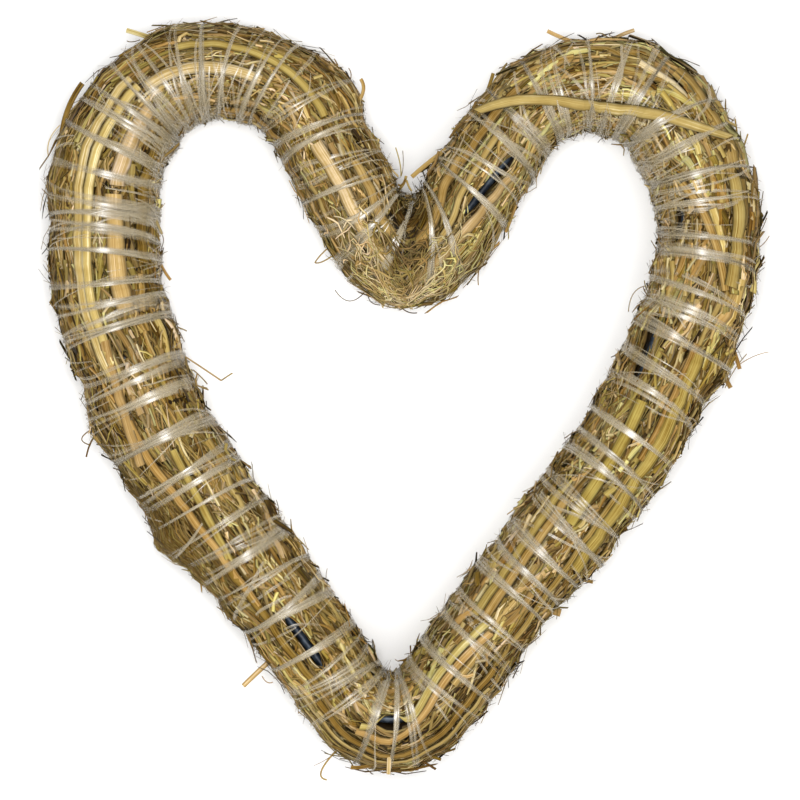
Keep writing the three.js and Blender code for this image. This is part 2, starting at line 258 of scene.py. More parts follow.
@dataclass
class Bundle:
    """The surface of the straw bundle round the middle line."""

    line: HeartLine
    unevenness: float = 1 * MM  # how much loose packing lifts or lowers the surface
    sway: float = 1.2 * MM  # how far the underside rises between the places that it lies on
    settle: float = 0.4 * MM  # how far those places are pressed down
    lowest: float = 0.18  # where one of them is, in shares of the way round
    facets: int = 9  # of the CAD model's section
    off_floor: float = 0.25 * MM  # keeps the lowest straw clear of the floor
    headroom: float = 1.8 * MM  # how far a stalk stands out of the face before it lies down
    slim: float = 1.1 * MM  # how much tighter the sides are packed
    ceiling: float = 49.6 * MM  # higher straw is pressed down
    press: float = 1.5 * MM  # how softly straw flattens on the floor
    give: float = 0.2  # how much of what reaches past the floor or the ceiling is left
    crowding: float = 0.3  # how much is left of what stands out of the face too far
    crease_width: float = 3.6 * MM
    drift_reach: float = 1.15  # in half arcs of the fold
    waves: tuple[tuple[int, int], ...] = ((3, 17), (2, -29), (1, 43))  # round the bundle, and along it
    shift: tuple[float, float] = (0, 0)

    @property
    def radius(self) -> float:
        """The bundle's nominal radius."""
        return self.line.bundle_radius

    def folds(self, measure: str) -> Iterator[tuple[float, float, float, int]]:
        """The tight folds that have a measure.

        Args:
            measure: A field of Corner.

        Yields:
            The measure, the fold's middle, half its arc, and 1 for a turn to the left or -1.
        """
        line = self.line
        for i, corner in enumerate(CORNERS):
            if getattr(corner, measure):
                side = 1 if line.turns_left[i] else -1
                yield getattr(corner, measure), line.middles[i], line.half_arcs[i], side

    def fold_bulge(self, along: Floats, angle: Floats) -> Floats:
        """How far the outside of a tight fold pushes out.

        Args:
            along: Shares of the way round.
            angle: Radians round the bundle.

        Returns:
            Metres.
        """
        total = np.zeros(np.broadcast(along, angle).shape)
        for bulge, middle, half_arc, side in self.folds("bulge"):
            gone = np.minimum(1, np.abs(away(along, middle)) / half_arc)
            outside = side * np.cos(angle) < 0
            total += outside * bulge * self.radius * np.cos(angle) ** 2 * ((1 + np.cos(math.pi * gone)) / 2)
        return total

    def drift(self, along: Floats, angle: Floats) -> Floats:
        """How far straw moves round the bundle where it runs on straight into a tight fold.

        Args:
            along: Shares of the way round.
            angle: Radians round the bundle.

        Returns:
            Radians.
        """
        total = np.zeros(np.broadcast(along, angle).shape)
        for drift, middle, half_arc, side in self.folds("drift"):
            near = np.maximum(0, 1 - np.abs(away(along, middle)) / half_arc / self.drift_reach)
            total = total + side * drift * near**2 * np.maximum(0, np.sin(angle)) ** 1.5
        return total

    def crease(self, along: Floats, angle: Floats) -> Floats:
        """How far the straw sinks between the legs of a tight fold.

        Args:
            along: Shares of the way round.
            angle: Radians round the bundle.

        Returns:
            Metres.
        """
        total = np.zeros(np.broadcast(along, angle).shape)
        gap = self.line.crease_gap
        for crease, middle, _, side in self.folds("crease"):
            inside = side * np.cos(angle)
            narrowing = (gap + (1 - inside) * self.radius) / (gap + self.radius)
            gone = away(along, middle) * self.line.length * narrowing / self.crease_width
            total = total + crease * bell(gone) * smoothstep(inside, -0.75, 0.85)
        return total * smoothstep(np.sin(angle), -0.6, 0)

    def swell(self, along: Floats, angle: Floats) -> Floats:
        """How far loose packing and fibres lift the surface.

        Args:
            along: Shares of the way round.
            angle: Radians round the bundle.

        Returns:
            Metres.
        """
        loose = self.line.eased([1 if c.bend else 0.1 for c in CORNERS], along)
        wave = along * FULL_TURN
        packing = sum(np.sin(lobes * angle + count * wave) for lobes, count in self.waves)
        total = loose * self.unevenness * packing / len(self.waves)
        for tuft in SWELLINGS:
            gone = away(along, tuft.along) * self.line.length / (tuft.spread * self.radius)
            facing = np.maximum(0, np.cos(angle - math.radians(tuft.angle)))
            total = total + tuft.height * self.radius * bell(gone) * facing**3
        return total * smoothstep(np.sin(angle), -0.8, -0.1)

    def underside(self, along: Floats) -> Floats:
        """How far the underside is above the surface that the heart lies on."""
        return self.sway * (1 - np.cos(3 * FULL_TURN * (along - self.lowest))) / 2 - self.settle

    def place(self, along: Floats, angle: Floats, lift: Floats, uneven: bool = True) -> Floats:
        """Places on the bundle, as the CAD model has them.

        Args:
            along: Shares of the way round.
            angle: Radians round the bundle: 0 outward, a quarter turn on the face.
            lift: How far above the surface.
            uneven: Whether the surface has its swellings.

        Returns:
            Points with x, y and z in the last axis.
        """
        point, out = self.line.frame(along)
        outward = self.line.eased([c.outward for c in CORNERS], along)
        inward = self.line.eased([c.inward for c in CORNERS], along)
        reach = np.where(np.cos(angle) >= 0, outward, inward) * self.radius + self.fold_bulge(along, angle)
        rise = (outward + inward) / 2 * self.radius
        drop = rise / math.cos(math.pi / self.facets)
        raised = lift + (self.swell(along, angle) if uneven else 0)
        aside = (reach + raised) * np.cos(angle)
        z = self.underside(along) + rise + (np.where(np.sin(angle) < 0, drop, rise) + raised) * np.sin(angle)
        x = point[..., 0] + out[..., 0] * aside + self.shift[0]
        y = point[..., 1] + out[..., 1] * aside + self.shift[1]
        return np.stack(np.broadcast_arrays(x, y, z), axis=-1)

    def rest(self, along: Floats, angle: Floats, lift: Floats) -> Floats:
        """Places on the bundle, with what would reach under the floor pressed flat on it.

        Args:
            along: Shares of the way round.
            angle: Radians round the bundle.
            lift: How far above the surface.

        Returns:
            Points with x, y and z in the last axis.
        """
        above = smoothstep(np.sin(angle), -1, -0.5)
        lift = lift - self.slim * smoothstep(-np.sin(angle), -0.85, -0.3)
        room = self.headroom * (0.4 + 0.6 * smoothstep(np.sin(angle), 0, 0.6))
        crowded = np.where(lift > room, room + (lift - room) * self.crowding, lift)
        crowded = np.where(lift > 0, crowded * above, lift)
        points = self.place(along, angle, crowded)
        low = points[..., 2]
        depth = np.maximum(0, -lift) * self.give
        eased = np.sqrt(low * low + self.press * self.press) / 2 + low / 2
        low = np.where(low > self.ceiling, self.ceiling + (low - self.ceiling) * self.give, low)
        pressed = np.where(low < 4 * self.press, np.maximum(eased, low), low)
        points[..., 2] = pressed + self.off_floor + depth * (1 - above)
        return points

    def stretch(self, along: Floats, angle: Floats) -> Floats:
        """How much longer a step along the surface is than along the middle line.

        Args:
            along: Shares of the way round.
            angle: Radians round the bundle.

        Returns:
            Factors, less than 1 inside a bend.
        """
        step = 0.002
        gone = self.place(along + step / 2, angle, 0.0) - self.place(along - step / 2, angle, 0.0)
        return np.maximum(0.25, np.linalg.norm(gone, axis=-1) / (step * self.line.length))


@dataclass
class Winding:
    """Where the film's turns lie, and how they draw the straw in."""

    bundle: Bundle
    turns: int = 82
    swing: float = 0.17  # how much the spacing of the turns changes round the heart
    bite: float = 0.55 * MM  # how deep a turn presses into the straw
    grip: float = 3.4 * MM  # half the length of the dip under a turn
    wander: float = 3.3 * MM  # how far a turn strays from its even place
    lean: float = 4.2 * MM  # how much the first turns slant
    lean_middle: float = 0.045  # where they do, in shares of the way round
    lean_reach: float = 0.05
    opening: tuple[float, float] = (0.1, 1.25)  # from twisted to opened out
    knots_per_turn: int = 2
    seed: int = 11

    def __post_init__(self) -> None:
        """Draws how each half turn strays."""
        rng = np.random.default_rng(self.seed)
        count = self.turns * self.knots_per_turn
        knots = np.clip(rng.normal(0, self.wander, count), -2 * self.wander, 2 * self.wander)
        fine = 12
        table = np.interp(np.arange(count * fine) / fine, np.arange(count + 1), np.append(knots, knots[0]))
        blur = np.hanning(fine + 1)
        table = np.convolve(np.concatenate([table[-fine:], table, table[:fine]]), blur / blur.sum(), "same")
        self._stray = table[fine:-fine]
        self._turns = np.linspace(0, self.turns, len(self._stray) + 1)
        self._spread = rng.uniform(*self.opening, self.turns + 1)

    def angle(self, turns: Floats) -> Floats:
        """The angle round the bundle after so many turns."""
        return -math.pi / 2 - math.pi / self.bundle.facets - FULL_TURN * turns

    def even_along(self, turns: Floats) -> Floats:
        """Where the CAD model's winding is after so many turns."""
        share = turns / self.turns
        return share + self.swing * (np.sin(FULL_TURN * (share - 0.25)) + 1) / FULL_TURN

    def along(self, turns: Floats) -> Floats:
        """Where the film is after so many turns, with its strays.

        Args:
            turns: Turns from the start.

        Returns:
            Shares of the way round.
        """
        stray = np.interp(np.mod(turns, self.turns), self._turns, np.append(self._stray, self._stray[0]))
        even = self.even_along(turns)
        start = bell(away(even, self.lean_middle) / self.lean_reach)
        stray = stray + self.lean * start * np.cos(self.angle(turns))
        return even + stray / self.bundle.line.length

    def spread(self, turns: Floats) -> Floats:
        """How far the film is opened out after so many turns, from twisted to flat."""
        return np.interp(np.mod(turns, self.turns), np.arange(self.turns + 1), self._spread)

    def dip(self, along: Floats, angle: Floats) -> Floats:
        """How far the straw is drawn in under the nearest turn, from 0 to 1.

        Args:
            along: Shares of the way round.
            angle: Radians round the bundle.

        Returns:
            Shares of the bite.
        """
        turns = np.linspace(-1, self.turns + 1, 4001)
        near = np.interp(np.mod(along, 1), self.even_along(turns), turns)
        lap = np.mod(-(angle + math.pi / 2 + math.pi / self.bundle.facets) / FULL_TURN, 1)
        nearest = np.full(np.broadcast(along, angle).shape, 1.0)
        for step in (-1, 0, 1):
            crossing = self.along(np.round(near - lap) + step + lap)
            nearest = np.minimum(nearest, np.abs(away(np.mod(along, 1), crossing)))
        return bell(nearest * self.bundle.line.length / self.grip)


@dataclass
class WireRoute:
    """Where the wire lies in the bundle, and the gaps in the straw that show it."""

    bundle: Bundle
    depth: float = 5.45 * MM  # of the wire's middle under the surface
    half_gap: float = 2.1 * MM
    fade: float = 5 * MM  # how soon the straw beside a gap lies undisturbed
    gaps: tuple[tuple[float, float], ...] = (
        (0.076, 28 * MM),
        (0.244, 15 * MM),
        (0.311, 27 * MM),
        (0.527, 10 * MM),
        (0.584, 25 * MM),
    )

    def angle(self, along: Floats) -> Floats:
        """The wire's angle round the bundle, in radians."""
        return np.radians(self.bundle.line.eased([c.wire for c in CORNERS], along))

    def open(self, along: Floats) -> Floats:
        """1 over the gaps in the straw, easing to 0 beyond their ends.

        Args:
            along: Shares of the way round.

        Returns:
            Shares.
        """
        total = np.zeros(np.shape(along))
        for place, length in self.gaps:
            gone = np.abs(away(along, place)) * self.bundle.line.length - length / 2
            total = np.maximum(total, 1 - smoothstep(gone, -3 * MM, self.fade))
        return total

    def part(self, along: Floats, angle: Floats, side: Floats) -> Floats:
        """Angles moved aside where the straw parts over the wire.

        Args:
            along: Shares of the way round.
            angle: Radians round the bundle.
            side: 1 for straw outward of the wire, -1 for straw inward of it.

        Returns:
            The new angles.
        """
        gone = side * turned(self.angle(along) - angle) * self.bundle.radius
        clear = np.maximum(gone, 0) + self.half_gap * np.exp(-np.maximum(gone, 0) / self.fade)
        near = np.abs(gone) < 0.3 * FULL_TURN * self.bundle.radius
        moved = np.where(near, clear - gone, 0)
        return angle - side * moved * self.open(along) / self.bundle.radius


@dataclass
class Workshop:
    """What every sub-assembly is built with."""

    bundle: Bundle
    winding: Winding
    wire: WireRoute
    broad: "tuple[Stalk, ...]"

    @classmethod
    def from_frame(cls) -> "Workshop":
        """The bundle, set where the CAD model's winding is.

        Returns:
            The workshop.
        """
        bundle = Bundle(HeartLine())
        winding = Winding(bundle)
        width, top = 2.6 * MM, -0.6 * MM  # of the CAD model's winding
        turns = np.arange(winding.turns * bundle.facets) / bundle.facets
        lift = np.full(turns.shape, top)
        even, angle = winding.even_along(turns), winding.angle(turns)
        half = width / 2 / bundle.line.length
        points = np.concatenate([bundle.place(even + edge, angle, lift) for edge in (-half, half)])
        low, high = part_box("plastic_winding")
        middle = (points.min(axis=0) + points.max(axis=0)) / 2
        bundle.shift = ((low[0] + high[0]) / 2 - middle[0], (low[1] + high[1]) / 2 - middle[1])
        size = points.max(axis=0) - points.min(axis=0)
        log.info("the line moves by %.3f, %.3f mm", bundle.shift[0] / MM, bundle.shift[1] / MM)
        log.info("winding %.1f x %.1f mm here", size[0] / MM, size[1] / MM)
        log.info("winding %.1f x %.1f mm in the CAD model", (high[0] - low[0]) / MM, (high[1] - low[1]) / MM)
        return cls(bundle, winding, WireRoute(bundle), BROAD_STALKS)

    def covered(self, along: Floats, angle: Floats) -> Floats:
        """1 under the broad stalks, easing to 0 beside them.

        Args:
            along: Shares of the way round.
            angle: Radians round the bundle.

        Returns:
            Shares.
        """
        total = np.zeros(along.shape)
        for stalk in self.broad:
            share, aside = stalk.local(self.bundle, along, angle)
            beside = np.abs(aside) - stalk.width / 2
            beyond = np.maximum(-share, share - 1) * stalk.reach(self.bundle)[0]
            total = np.maximum(total, 1 - smoothstep(np.maximum(beside, beyond), -0.4 * MM, 1.2 * MM))
        return total


def positions(mesh: Mesh) -> Floats:
    """A mesh's vertex positions, one row for each vertex."""
    flat = np.empty(len(mesh.vertices) * 3)
    mesh.vertices.foreach_get("co", flat)
    return flat.reshape(-1, 3)


def move(mesh: Mesh, points: Floats) -> None:
    """Moves a mesh's vertices to new positions."""
    mesh.vertices.foreach_set("co", points.reshape(-1).astype(np.float32))
    mesh.update()


def store(mesh: Mesh, name: str, values: Floats) -> None:
    """Keeps a number, or three numbers, for each vertex under a name."""
    vector = values.ndim == 2
    layer = mesh.attributes.new(name, "FLOAT_VECTOR" if vector else "FLOAT", "POINT")
    layer.data.foreach_set("vector" if vector else "value", values.reshape(-1).astype(np.float32))


def baked(shape: bmesh.types.BMesh) -> Mesh:
    """A mesh of a shape that is done."""
    mesh = bpy.data.meshes.new("mesh")
    shape.to_mesh(mesh)
    shape.free()
    return mesh


def sheet(steps: int, strips: int, half: float = 0.5, thickness: float = 0) -> Mesh:
    """A flat grid round the origin.

    Args:
        steps: How many faces it has along x.
        strips: How many it has along y.
        half: Half its length and width.
        thickness: Makes it a closed slab.

    Returns:
        The mesh.
    """
    shape = bmesh.new()
    bmesh.ops.create_grid(shape, x_segments=steps, y_segments=strips, size=half)
    if thickness:
        bmesh.ops.solidify(shape, geom=shape.faces[:], thickness=thickness)
    return baked(shape)


def sewn(mesh: Mesh) -> Mesh:
    """The mesh, with the edges that meet joined and its faces turned outwards."""
    shape = bmesh.new()
    shape.from_mesh(mesh)
    bmesh.ops.remove_doubles(shape, verts=shape.verts, dist=0.01 * MM)
    bmesh.ops.recalc_face_normals(shape, faces=shape.faces)
    shape.to_mesh(mesh)
    shape.free()
    return mesh


def finished(name: str, mesh: Mesh, material: Material, slot: Slot, sharp: float = 60) -> Piece:
    """Makes a mesh a piece of the heart.

    Args:
        name: The piece's name.
        mesh: Its mesh, in place.
        material: Its finish.
        slot: The record's slot that it belongs to. Not used.
        sharp: Edges that bend by more degrees than this stay sharp.

    Returns:
        The new piece.
    """
    mesh.name = name
    mesh.shade_smooth()
    mesh.set_sharp_from_angle(angle=math.radians(sharp))
    mesh.materials.append(material)
    piece = bpy.data.objects.new(name, mesh)
    bpy.context.scene.collection.objects.link(piece)
    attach(piece, BODY)
    slot.value
    mesh.calc_loop_triangles()
    log.info("%s: %d triangles", name, len(mesh.loop_triangles))
    return piece


@dataclass
class Recipe:
    """A new material and its nodes. A value is a number, a colour or another node's socket."""

    name: str
    material: Material = field(init=False)

    def __post_init__(self) -> None:
        """Makes the material."""
        self.material = bpy.data.materials.new(self.name)
        self.material.use_nodes = True
        self.tree = self.material.node_tree

    def feed(self, socket: Socket, value: object) -> None:
        """Sets a socket to a value, or links it to another node's socket."""
        if isinstance(value, Socket):
            self.tree.links.new(value, socket)
        else:
            socket.default_value = value

    def add(self, kind: str, *values: object, **settings: object) -> bpy.types.Node:
        """Adds a node.

        Args:
            kind: Its type, without ShaderNode.
            *values: What its first sockets get, in order.
            **settings: What the sockets or the properties of these names get.

        Returns:
            The new node.
        """
        made = self.tree.nodes.new(f"ShaderNode{kind}")
        for name, value in settings.items():
            socket = made.inputs.get(name.replace("_", " "))
            if socket is None:
                setattr(made, name, value)
            else:
                self.feed(socket, value)
        for socket, value in zip(made.inputs, values):
            self.feed(socket, value)
        return made

    def math(self, operation: str, *values: object) -> Socket:
        """The result of a sum on numbers."""
        return self.add("Math", *values, operation=operation).outputs[0]

    def stored(self, name: str) -> Socket:
        """A number that the mesh keeps for each vertex."""
        return self.add("Attribute", attribute_name=name).outputs["Fac"]

    def streaks(self, length: float, width: float, roughness: float) -> Socket:
        """Noise drawn out along the grain, from the sizes of one streak."""
        grain = self.add("Attribute", attribute_name="grain").outputs["Vector"]
        drawn = self.add("Mapping", Vector=grain, Scale=(1 / length, 1 / width, 1)).outputs["Vector"]
        noise = self.add("TexNoise", Vector=drawn, Scale=1, Detail=3, Roughness=roughness)
        return noise.outputs["Fac"]

    def spots(self, scale: float, **settings: float) -> Socket:
        """Noise in the space of the object."""
        place = self.add("TexCoord").outputs["Object"]
        return self.add("TexNoise", Vector=place, Scale=scale, **settings).outputs["Fac"]

    def ranged(self, value: Socket, low: float, high: float, **settings: float) -> Socket:
        """A number moved from its range to another one."""
        return self.add("MapRange", Value=value, To_Min=low, To_Max=high, **settings).outputs["Result"]

    def bumps(self, height: Socket, strength: float, distance: float) -> Socket:
        """Normals for a height."""
        return self.add("Bump", Height=height, Strength=strength, Distance=distance).outputs["Normal"]

    def ramp(self, value: Socket, stops: tuple[tuple[float, tuple[float, float, float]], ...]) -> Socket:
        """A colour for a number.

        Args:
            value: The number.
            stops: A place and a colour for each stop.

        Returns:
            The colour.
        """
        made = self.add("ValToRGB", value)
        elements = made.color_ramp.elements
        while len(elements) < len(stops):
            elements.new(0.5)
        for element, (place, colour) in zip(elements, stops):
            element.position = place
            element.color = (*colour, 1)
        return made.outputs["Color"]

    def done(self, **values: object) -> Material:
        """Feeds the shader's sockets of these names, and gives the material."""
        shader = self.tree.nodes["Principled BSDF"]
        for name, value in values.items():
            self.feed(shader.inputs[name.replace("_", " ")], value)
        return self.material


TONES = (
    (0.0, (0.022, 0.01, 0.0005)),
    (0.16, (0.08, 0.041, 0.003)),
    (0.32, (0.177, 0.104, 0.01)),
    (0.5, (0.285, 0.193, 0.052)),
    (0.66, (0.365, 0.266, 0.088)),
    (0.8, (0.425, 0.326, 0.122)),
    (0.9, (0.52, 0.418, 0.195)),
    (1.0, (0.66, 0.575, 0.36)),
)

TINTS = (
    (0.0, (0.96, 0.99, 0.64)),
    (0.25, (0.99, 0.96, 0.84)),
    (0.6, (1.03, 0.94, 0.92)),
    (0.85, (1.08, 0.89, 0.8)),
    (1.0, (1.03, 0.93, 1.08)),
)


@dataclass(frozen=True)
class StrawFinish:
    """Dry straw: streaked lengthwise, ribbed, silky where it is broad."""

    name: str
    streak: float = 0.66  # how much the streaks change the tone
    streak_length: float = 40 * MM
    streak_width: float = 0.5 * MM
    blotch: float = 0.2  # how much larger patches change the tone
    blotch_size: float = 6 * MM
    rim: float = 0.85  # painted shade: how much darker the edges of each stalk are, for the shade in the gaps between stalks
    rim_power: float = 3.2
    roughness: float = 0.55
    gloss: float = 0.12
    ribs: float = 0.5

    def build(self) -> Material:
        """The material."""
        recipe = Recipe(self.name)
        streaks = recipe.streaks(self.streak_length, self.streak_width, 0.65)
        tone = recipe.stored("tone")
        blotches = recipe.spots(1 / self.blotch_size, Detail=2)
        for noise, amount in ((streaks, self.streak), (blotches, self.blotch)):
            tone = recipe.math("ADD", recipe.math("MULTIPLY_ADD", noise, 2 * amount, -amount), tone)
        tints = recipe.ramp(recipe.stored("hue"), TINTS)
        tinted = recipe.add("VectorMath", recipe.ramp(tone, TONES), tints, operation="MULTIPLY")
        # painted shade: each stalk's edges are darkened for the gaps between stalks; the shade attribute
        # holds each strand's own brightness and painted shade for deeper strands
        edge = recipe.math("POWER", recipe.stored("rim"), self.rim_power)
        kept = recipe.math("MULTIPLY_ADD", edge, -self.rim, 1)
        shade = recipe.math("MULTIPLY", kept, recipe.stored("shade"))
        dimmed = recipe.add("VectorMath", tinted.outputs["Vector"], operation="SCALE", Scale=shade)
        return recipe.done(
            Base_Color=dimmed.outputs["Vector"],
            Roughness=recipe.ranged(streaks, self.roughness - 0.12, self.roughness + 0.18),
            Normal=recipe.bumps(streaks, self.ribs, 0.15 * MM),
            Specular_IOR_Level=self.gloss,
        )


@dataclass(frozen=True)
class FilmFinish:
    """Clear film, stretched until it split into fine strands."""

    name: str = "plastic film"
    colour: tuple[float, float, float] = (0.5, 0.415, 0.26)
    thin: float = 0.2  # opacity between the strands
    thick: float = 1
    strand: float = 0.7 * MM
    strand_length: float = 40 * MM
    roughness: float = 0.23
    gloss: float = 0.75
    refraction: float = 1.8  # layers of film reflect more than one does

    def build(self) -> Material:
        """The material."""
        recipe = Recipe(self.name)
        strands = recipe.streaks(self.strand_length, self.strand, 0.6)
        opacity = recipe.ranged(strands, self.thin, self.thick, From_Min=0.4, From_Max=0.62)
        return recipe.done(
            Base_Color=(*self.colour, 1),
            Roughness=self.roughness,
            Specular_IOR_Level=self.gloss,
            IOR=self.refraction,
            Alpha=recipe.math("MULTIPLY", opacity, recipe.stored("veil")),
            Normal=recipe.bumps(strands, 0.5, 0.15 * MM),
        )


@dataclass(frozen=True)
class WireFinish:
    """Dark steel wire with a slightly glossy blue-black coat."""

    name: str = "dark steel wire"
    bare: tuple[float, float, float] = (0.055, 0.075, 0.1)
    coat: tuple[float, float, float] = (0.012, 0.017, 0.026)

    def build(self) -> Material:
        """The material."""
        recipe = Recipe(self.name)
        scale = recipe.spots(260, Detail=4, Roughness=0.6)
        return recipe.done(
            Metallic=0.35,
            Base_Color=recipe.ramp(scale, ((0.4, self.coat), (0.65, self.bare))),
            Roughness=recipe.ranged(scale, 0.28, 0.5),
            Normal=recipe.bumps(scale, 0.25, 0.1 * MM),
        )


@dataclass(frozen=True)
class StrandShape:
    """A straight closed prism of unit size, the start of every strand."""

    sides: int
    segments: int

    def mesh(self) -> Mesh:
        """The prism, along z from -0.5 to 0.5, with a section of radius 1."""
        shape = bmesh.new()
        bmesh.ops.create_cone(shape, cap_ends=True, segments=self.sides, radius1=1, radius2=1, depth=1)
        lengthwise = [e for e in shape.edges if abs(e.verts[0].co.z - e.verts[1].co.z) > 0.5]
        if self.segments > 1:
            bmesh.ops.subdivide_edges(shape, edges=lengthwise, cuts=self.segments - 1, use_grid_fill=True)
        return baked(shape)

    def repeated(self, count: int) -> tuple[Mesh, Floats]:
        """Many prisms in one mesh.

        Args:
            count: How many.

        Returns:
            The mesh, and its positions as (prism, vertex, axis).
        """
        prism = self.mesh()
        shape = bmesh.new()
        for _ in range(count):
            shape.from_mesh(prism)
        many = baked(shape)
        bpy.data.meshes.remove(prism)
        return many, positions(many).reshape(count, -1, 3)


FLATTENED = 0.75  # how much of its height a strand loses under a turn of the film
FLATTENED_REACH = 2 * MM
OWN_GRAIN = 1.37  # how far apart the streaks of two strands are picked


@dataclass
class Strands:
    """Strands laid on the unrolled bundle: each array has one value for each strand."""

    along: Floats  # where its middle is, in shares of the way round
    angle: Floats  # the same in radians round the bundle
    length: Floats
    width: Floats
    thickness: Floats
    heading: Floats  # in radians from the bundle's own direction towards the inner side
    bow: Floats  # how far its middle is bowed sideways
    wiggle: Floats  # how far it waves sideways
    lift: Floats  # how far its middle is above the surface
    start_rise: Floats  # how much higher its first end is
    end_rise: Floats  # and its other end
    roll: Floats  # how far its section is turned, in radians
    taper: Floats  # how much narrower its ends are, from 0 to 1
    tone: Floats  # its place in the range of tones
    shade: Floats  # a factor on its colour: its own brightness, with painted shade for deeper strands and in the notch's crease

    def __len__(self) -> int:
        """How many strands there are."""
        return len(self.along)

    def chosen(self, which: NDArray[np.bool_]) -> "Strands":
        """The strands that a mask chooses."""
        return Strands(**{name: getattr(self, name)[which] for name in self.__dataclass_fields__})

    def route(self, share: Floats) -> Floats:
        """Each strand's middle line in metres on the unrolled bundle, from its own middle.

        Args:
            share: Shares of its length, one row for each strand.

        Returns:
            Ways along the bundle, round it and out of it, in the last axis.
        """
        gone = (share - 0.5) * self.length[:, None]
        arch = 4 * share * (1 - share)
        phase = (self.tone * 97)[:, None]
        aside = self.bow[:, None] * (arch - 0.5) + self.wiggle[:, None] * np.sin(7 * share + phase)
        cos, sin = np.cos(self.heading)[:, None], np.sin(self.heading)[:, None]
        rise = self.start_rise[:, None] * (1 - share) ** 3 + self.end_rise[:, None] * share**3
        along, round_way = gone * cos - aside * sin, gone * sin + aside * cos
        return np.stack([along, round_way, self.lift[:, None] + rise], axis=-1)

    def mesh(self, shape: StrandShape, workshop: Workshop, sunk: float = 0, on_top: bool = False) -> Mesh:
        """The strands as one mesh, bent round the bundle.

        Args:
            shape: The prism that each one is made from.
            workshop: The bundle that they lie on.
            sunk: How much deeper they lie under the broad stalks.
            on_top: Whether they lie over the straw, and don't part over the wire or sink under the film.

        Returns:
            The mesh, with the attributes grain, tone, shade, hue and rim.
        """
        bundle = workshop.bundle
        mesh, prisms = shape.repeated(len(self))
        share = prisms[..., 2] + 0.5
        step = 0.01
        middle = self.route(share)
        ahead = self.route(share + step) - self.route(share - step)
        ahead /= np.linalg.norm(ahead, axis=-1)[..., None] + 1e-12
        zero = np.zeros(share.shape)
        heading = self.heading[:, None] + zero
        side = np.stack([-np.sin(heading), np.cos(heading), zero], axis=-1)
        up = np.cross(ahead, side)
        up /= np.linalg.norm(up, axis=-1)[..., None] + 1e-12
        narrow = 1 - self.taper[:, None] * np.abs(2 * share - 1) ** 3
        across = prisms[..., 0] * self.width[:, None] / 2 * narrow
        over = prisms[..., 1] * self.thickness[:, None] / 2 * narrow
        cos, sin = np.cos(self.roll)[:, None], np.sin(self.roll)[:, None]
        spot = middle + side * (across * cos - over * sin)[..., None]
        spot += up * (across * sin + over * cos)[..., None]

        along = self.along[:, None] + spot[..., 0] / bundle.line.length
        angle = self.angle[:, None] + spot[..., 1] / bundle.radius
        lift = spot[..., 2]
        if not on_top:
            if sunk:
                lift = lift - sunk * workshop.covered(along, angle)
            angle = angle + bundle.drift(along, angle)
            outward = np.sin(workshop.wire.angle(self.along) - self.angle)
            angle = workshop.wire.part(along, angle, np.where(outward >= 0, 1, -1)[:, None])
            dip = workshop.winding.dip(along, angle)
            flattened = FLATTENED * dip * np.clip(lift, -FLATTENED_REACH, FLATTENED_REACH)
            lift = lift - flattened - workshop.winding.bite * dip
        lift = lift - bundle.crease(along, angle)
        move(mesh, bundle.rest(along, angle, lift))

        own = np.arange(len(self))[:, None] * OWN_GRAIN
        grain = np.stack([share * self.length[:, None], across + own * 10 * MM, own + zero], axis=-1)
        store(mesh, "grain", grain.reshape(-1, 3))
        hue = np.mod(self.tone * 1013, 1)
        for name, values in (("tone", self.tone), ("shade", self.shade), ("hue", hue)):
            store(mesh, name, np.broadcast_to(values[:, None], share.shape).reshape(-1))
        # painted shade: 0 in the middle of each strand and 1 at its edges, for darkening its edges
        store(mesh, "rim", (np.abs(prisms[..., 0]) / np.abs(prisms[..., 0]).max()).reshape(-1))
        return mesh


Span = tuple[float, float]
THIN_ONES = 1.7  # above 1, thin strands are the most frequent
DEEPEST_PAINTED_SHADE = 0.34  # painted shade: the colour factor of the deepest strands, as if shaded by those above
PAINTED_SHADE_GAIN = 0.7  # and how much lighter the highest ones are painted


@dataclass(frozen=True)
class StrandKind:
    """What one kind of strand is like: spans are lowest and highest values, angles in degrees.

    A width is most often near its lowest value. spread is the usual angle to the bundle's direction,
    bow the usual sideways bow in shares of the length, and rise the usual height of an end.
    """

    shape: StrandShape
    length: Span
    width: Span
    flatness: Span
    spread: float
    bow: float
    wiggle: float
    depth: Span
    rise: float
    tone: Span
    shade: Span
    taper: float = 0
    roll: float = 25

    def draw(self, rng: np.random.Generator, count: int) -> Strands:
        """Draws strands of this kind, anywhere on the bundle.

        Args:
            rng: Where the numbers come from.
            count: How many.

        Returns:
            The strands.
        """

        def between(span: Span, power: float = 1) -> Floats:
            """Values in a span, nearer its low end for a power above 1."""
            return span[0] + (span[1] - span[0]) * rng.random(count) ** power

        def about(size: float) -> Floats:
            """Values round 0."""
            return rng.normal(0, size, count)

        length, width = between(self.length), between(self.width, THIN_ONES)
        middle = (self.tone[0] + self.tone[1]) / 2
        tone = middle + about((self.tone[1] - self.tone[0]) / 4)
        depth = rng.random(count)
        return Strands(  # the order of the draws is part of the look
            along=rng.random(count),
            angle=rng.random(count) * FULL_TURN,
            length=length,
            width=width,
            thickness=width * between(self.flatness),
            heading=np.radians(about(self.spread)),
            bow=about(self.bow) * length,
            wiggle=about(self.wiggle),
            lift=self.depth[0] + (self.depth[1] - self.depth[0]) * depth,
            start_rise=np.abs(about(self.rise)),
            end_rise=np.abs(about(self.rise)),
            roll=np.radians(about(self.roll)),
            taper=np.full(count, self.taper),
            tone=np.clip(tone, 0.02, 1),
            # painted shade: deeper strands are darker, on top of their own random brightness
            shade=between(self.shade) * (DEEPEST_PAINTED_SHADE + PAINTED_SHADE_GAIN * depth),
        )


@dataclass(frozen=True)
class Patch:
    """A part of the bundle where the straw differs: factors and changes at its middle, fading outwards."""

    along: float
    angle: float
    reach: float  # in shares of the way round
    spread: float  # in degrees round the bundle
    width: float = 1
    tone: float = 0
    shade: float = 1


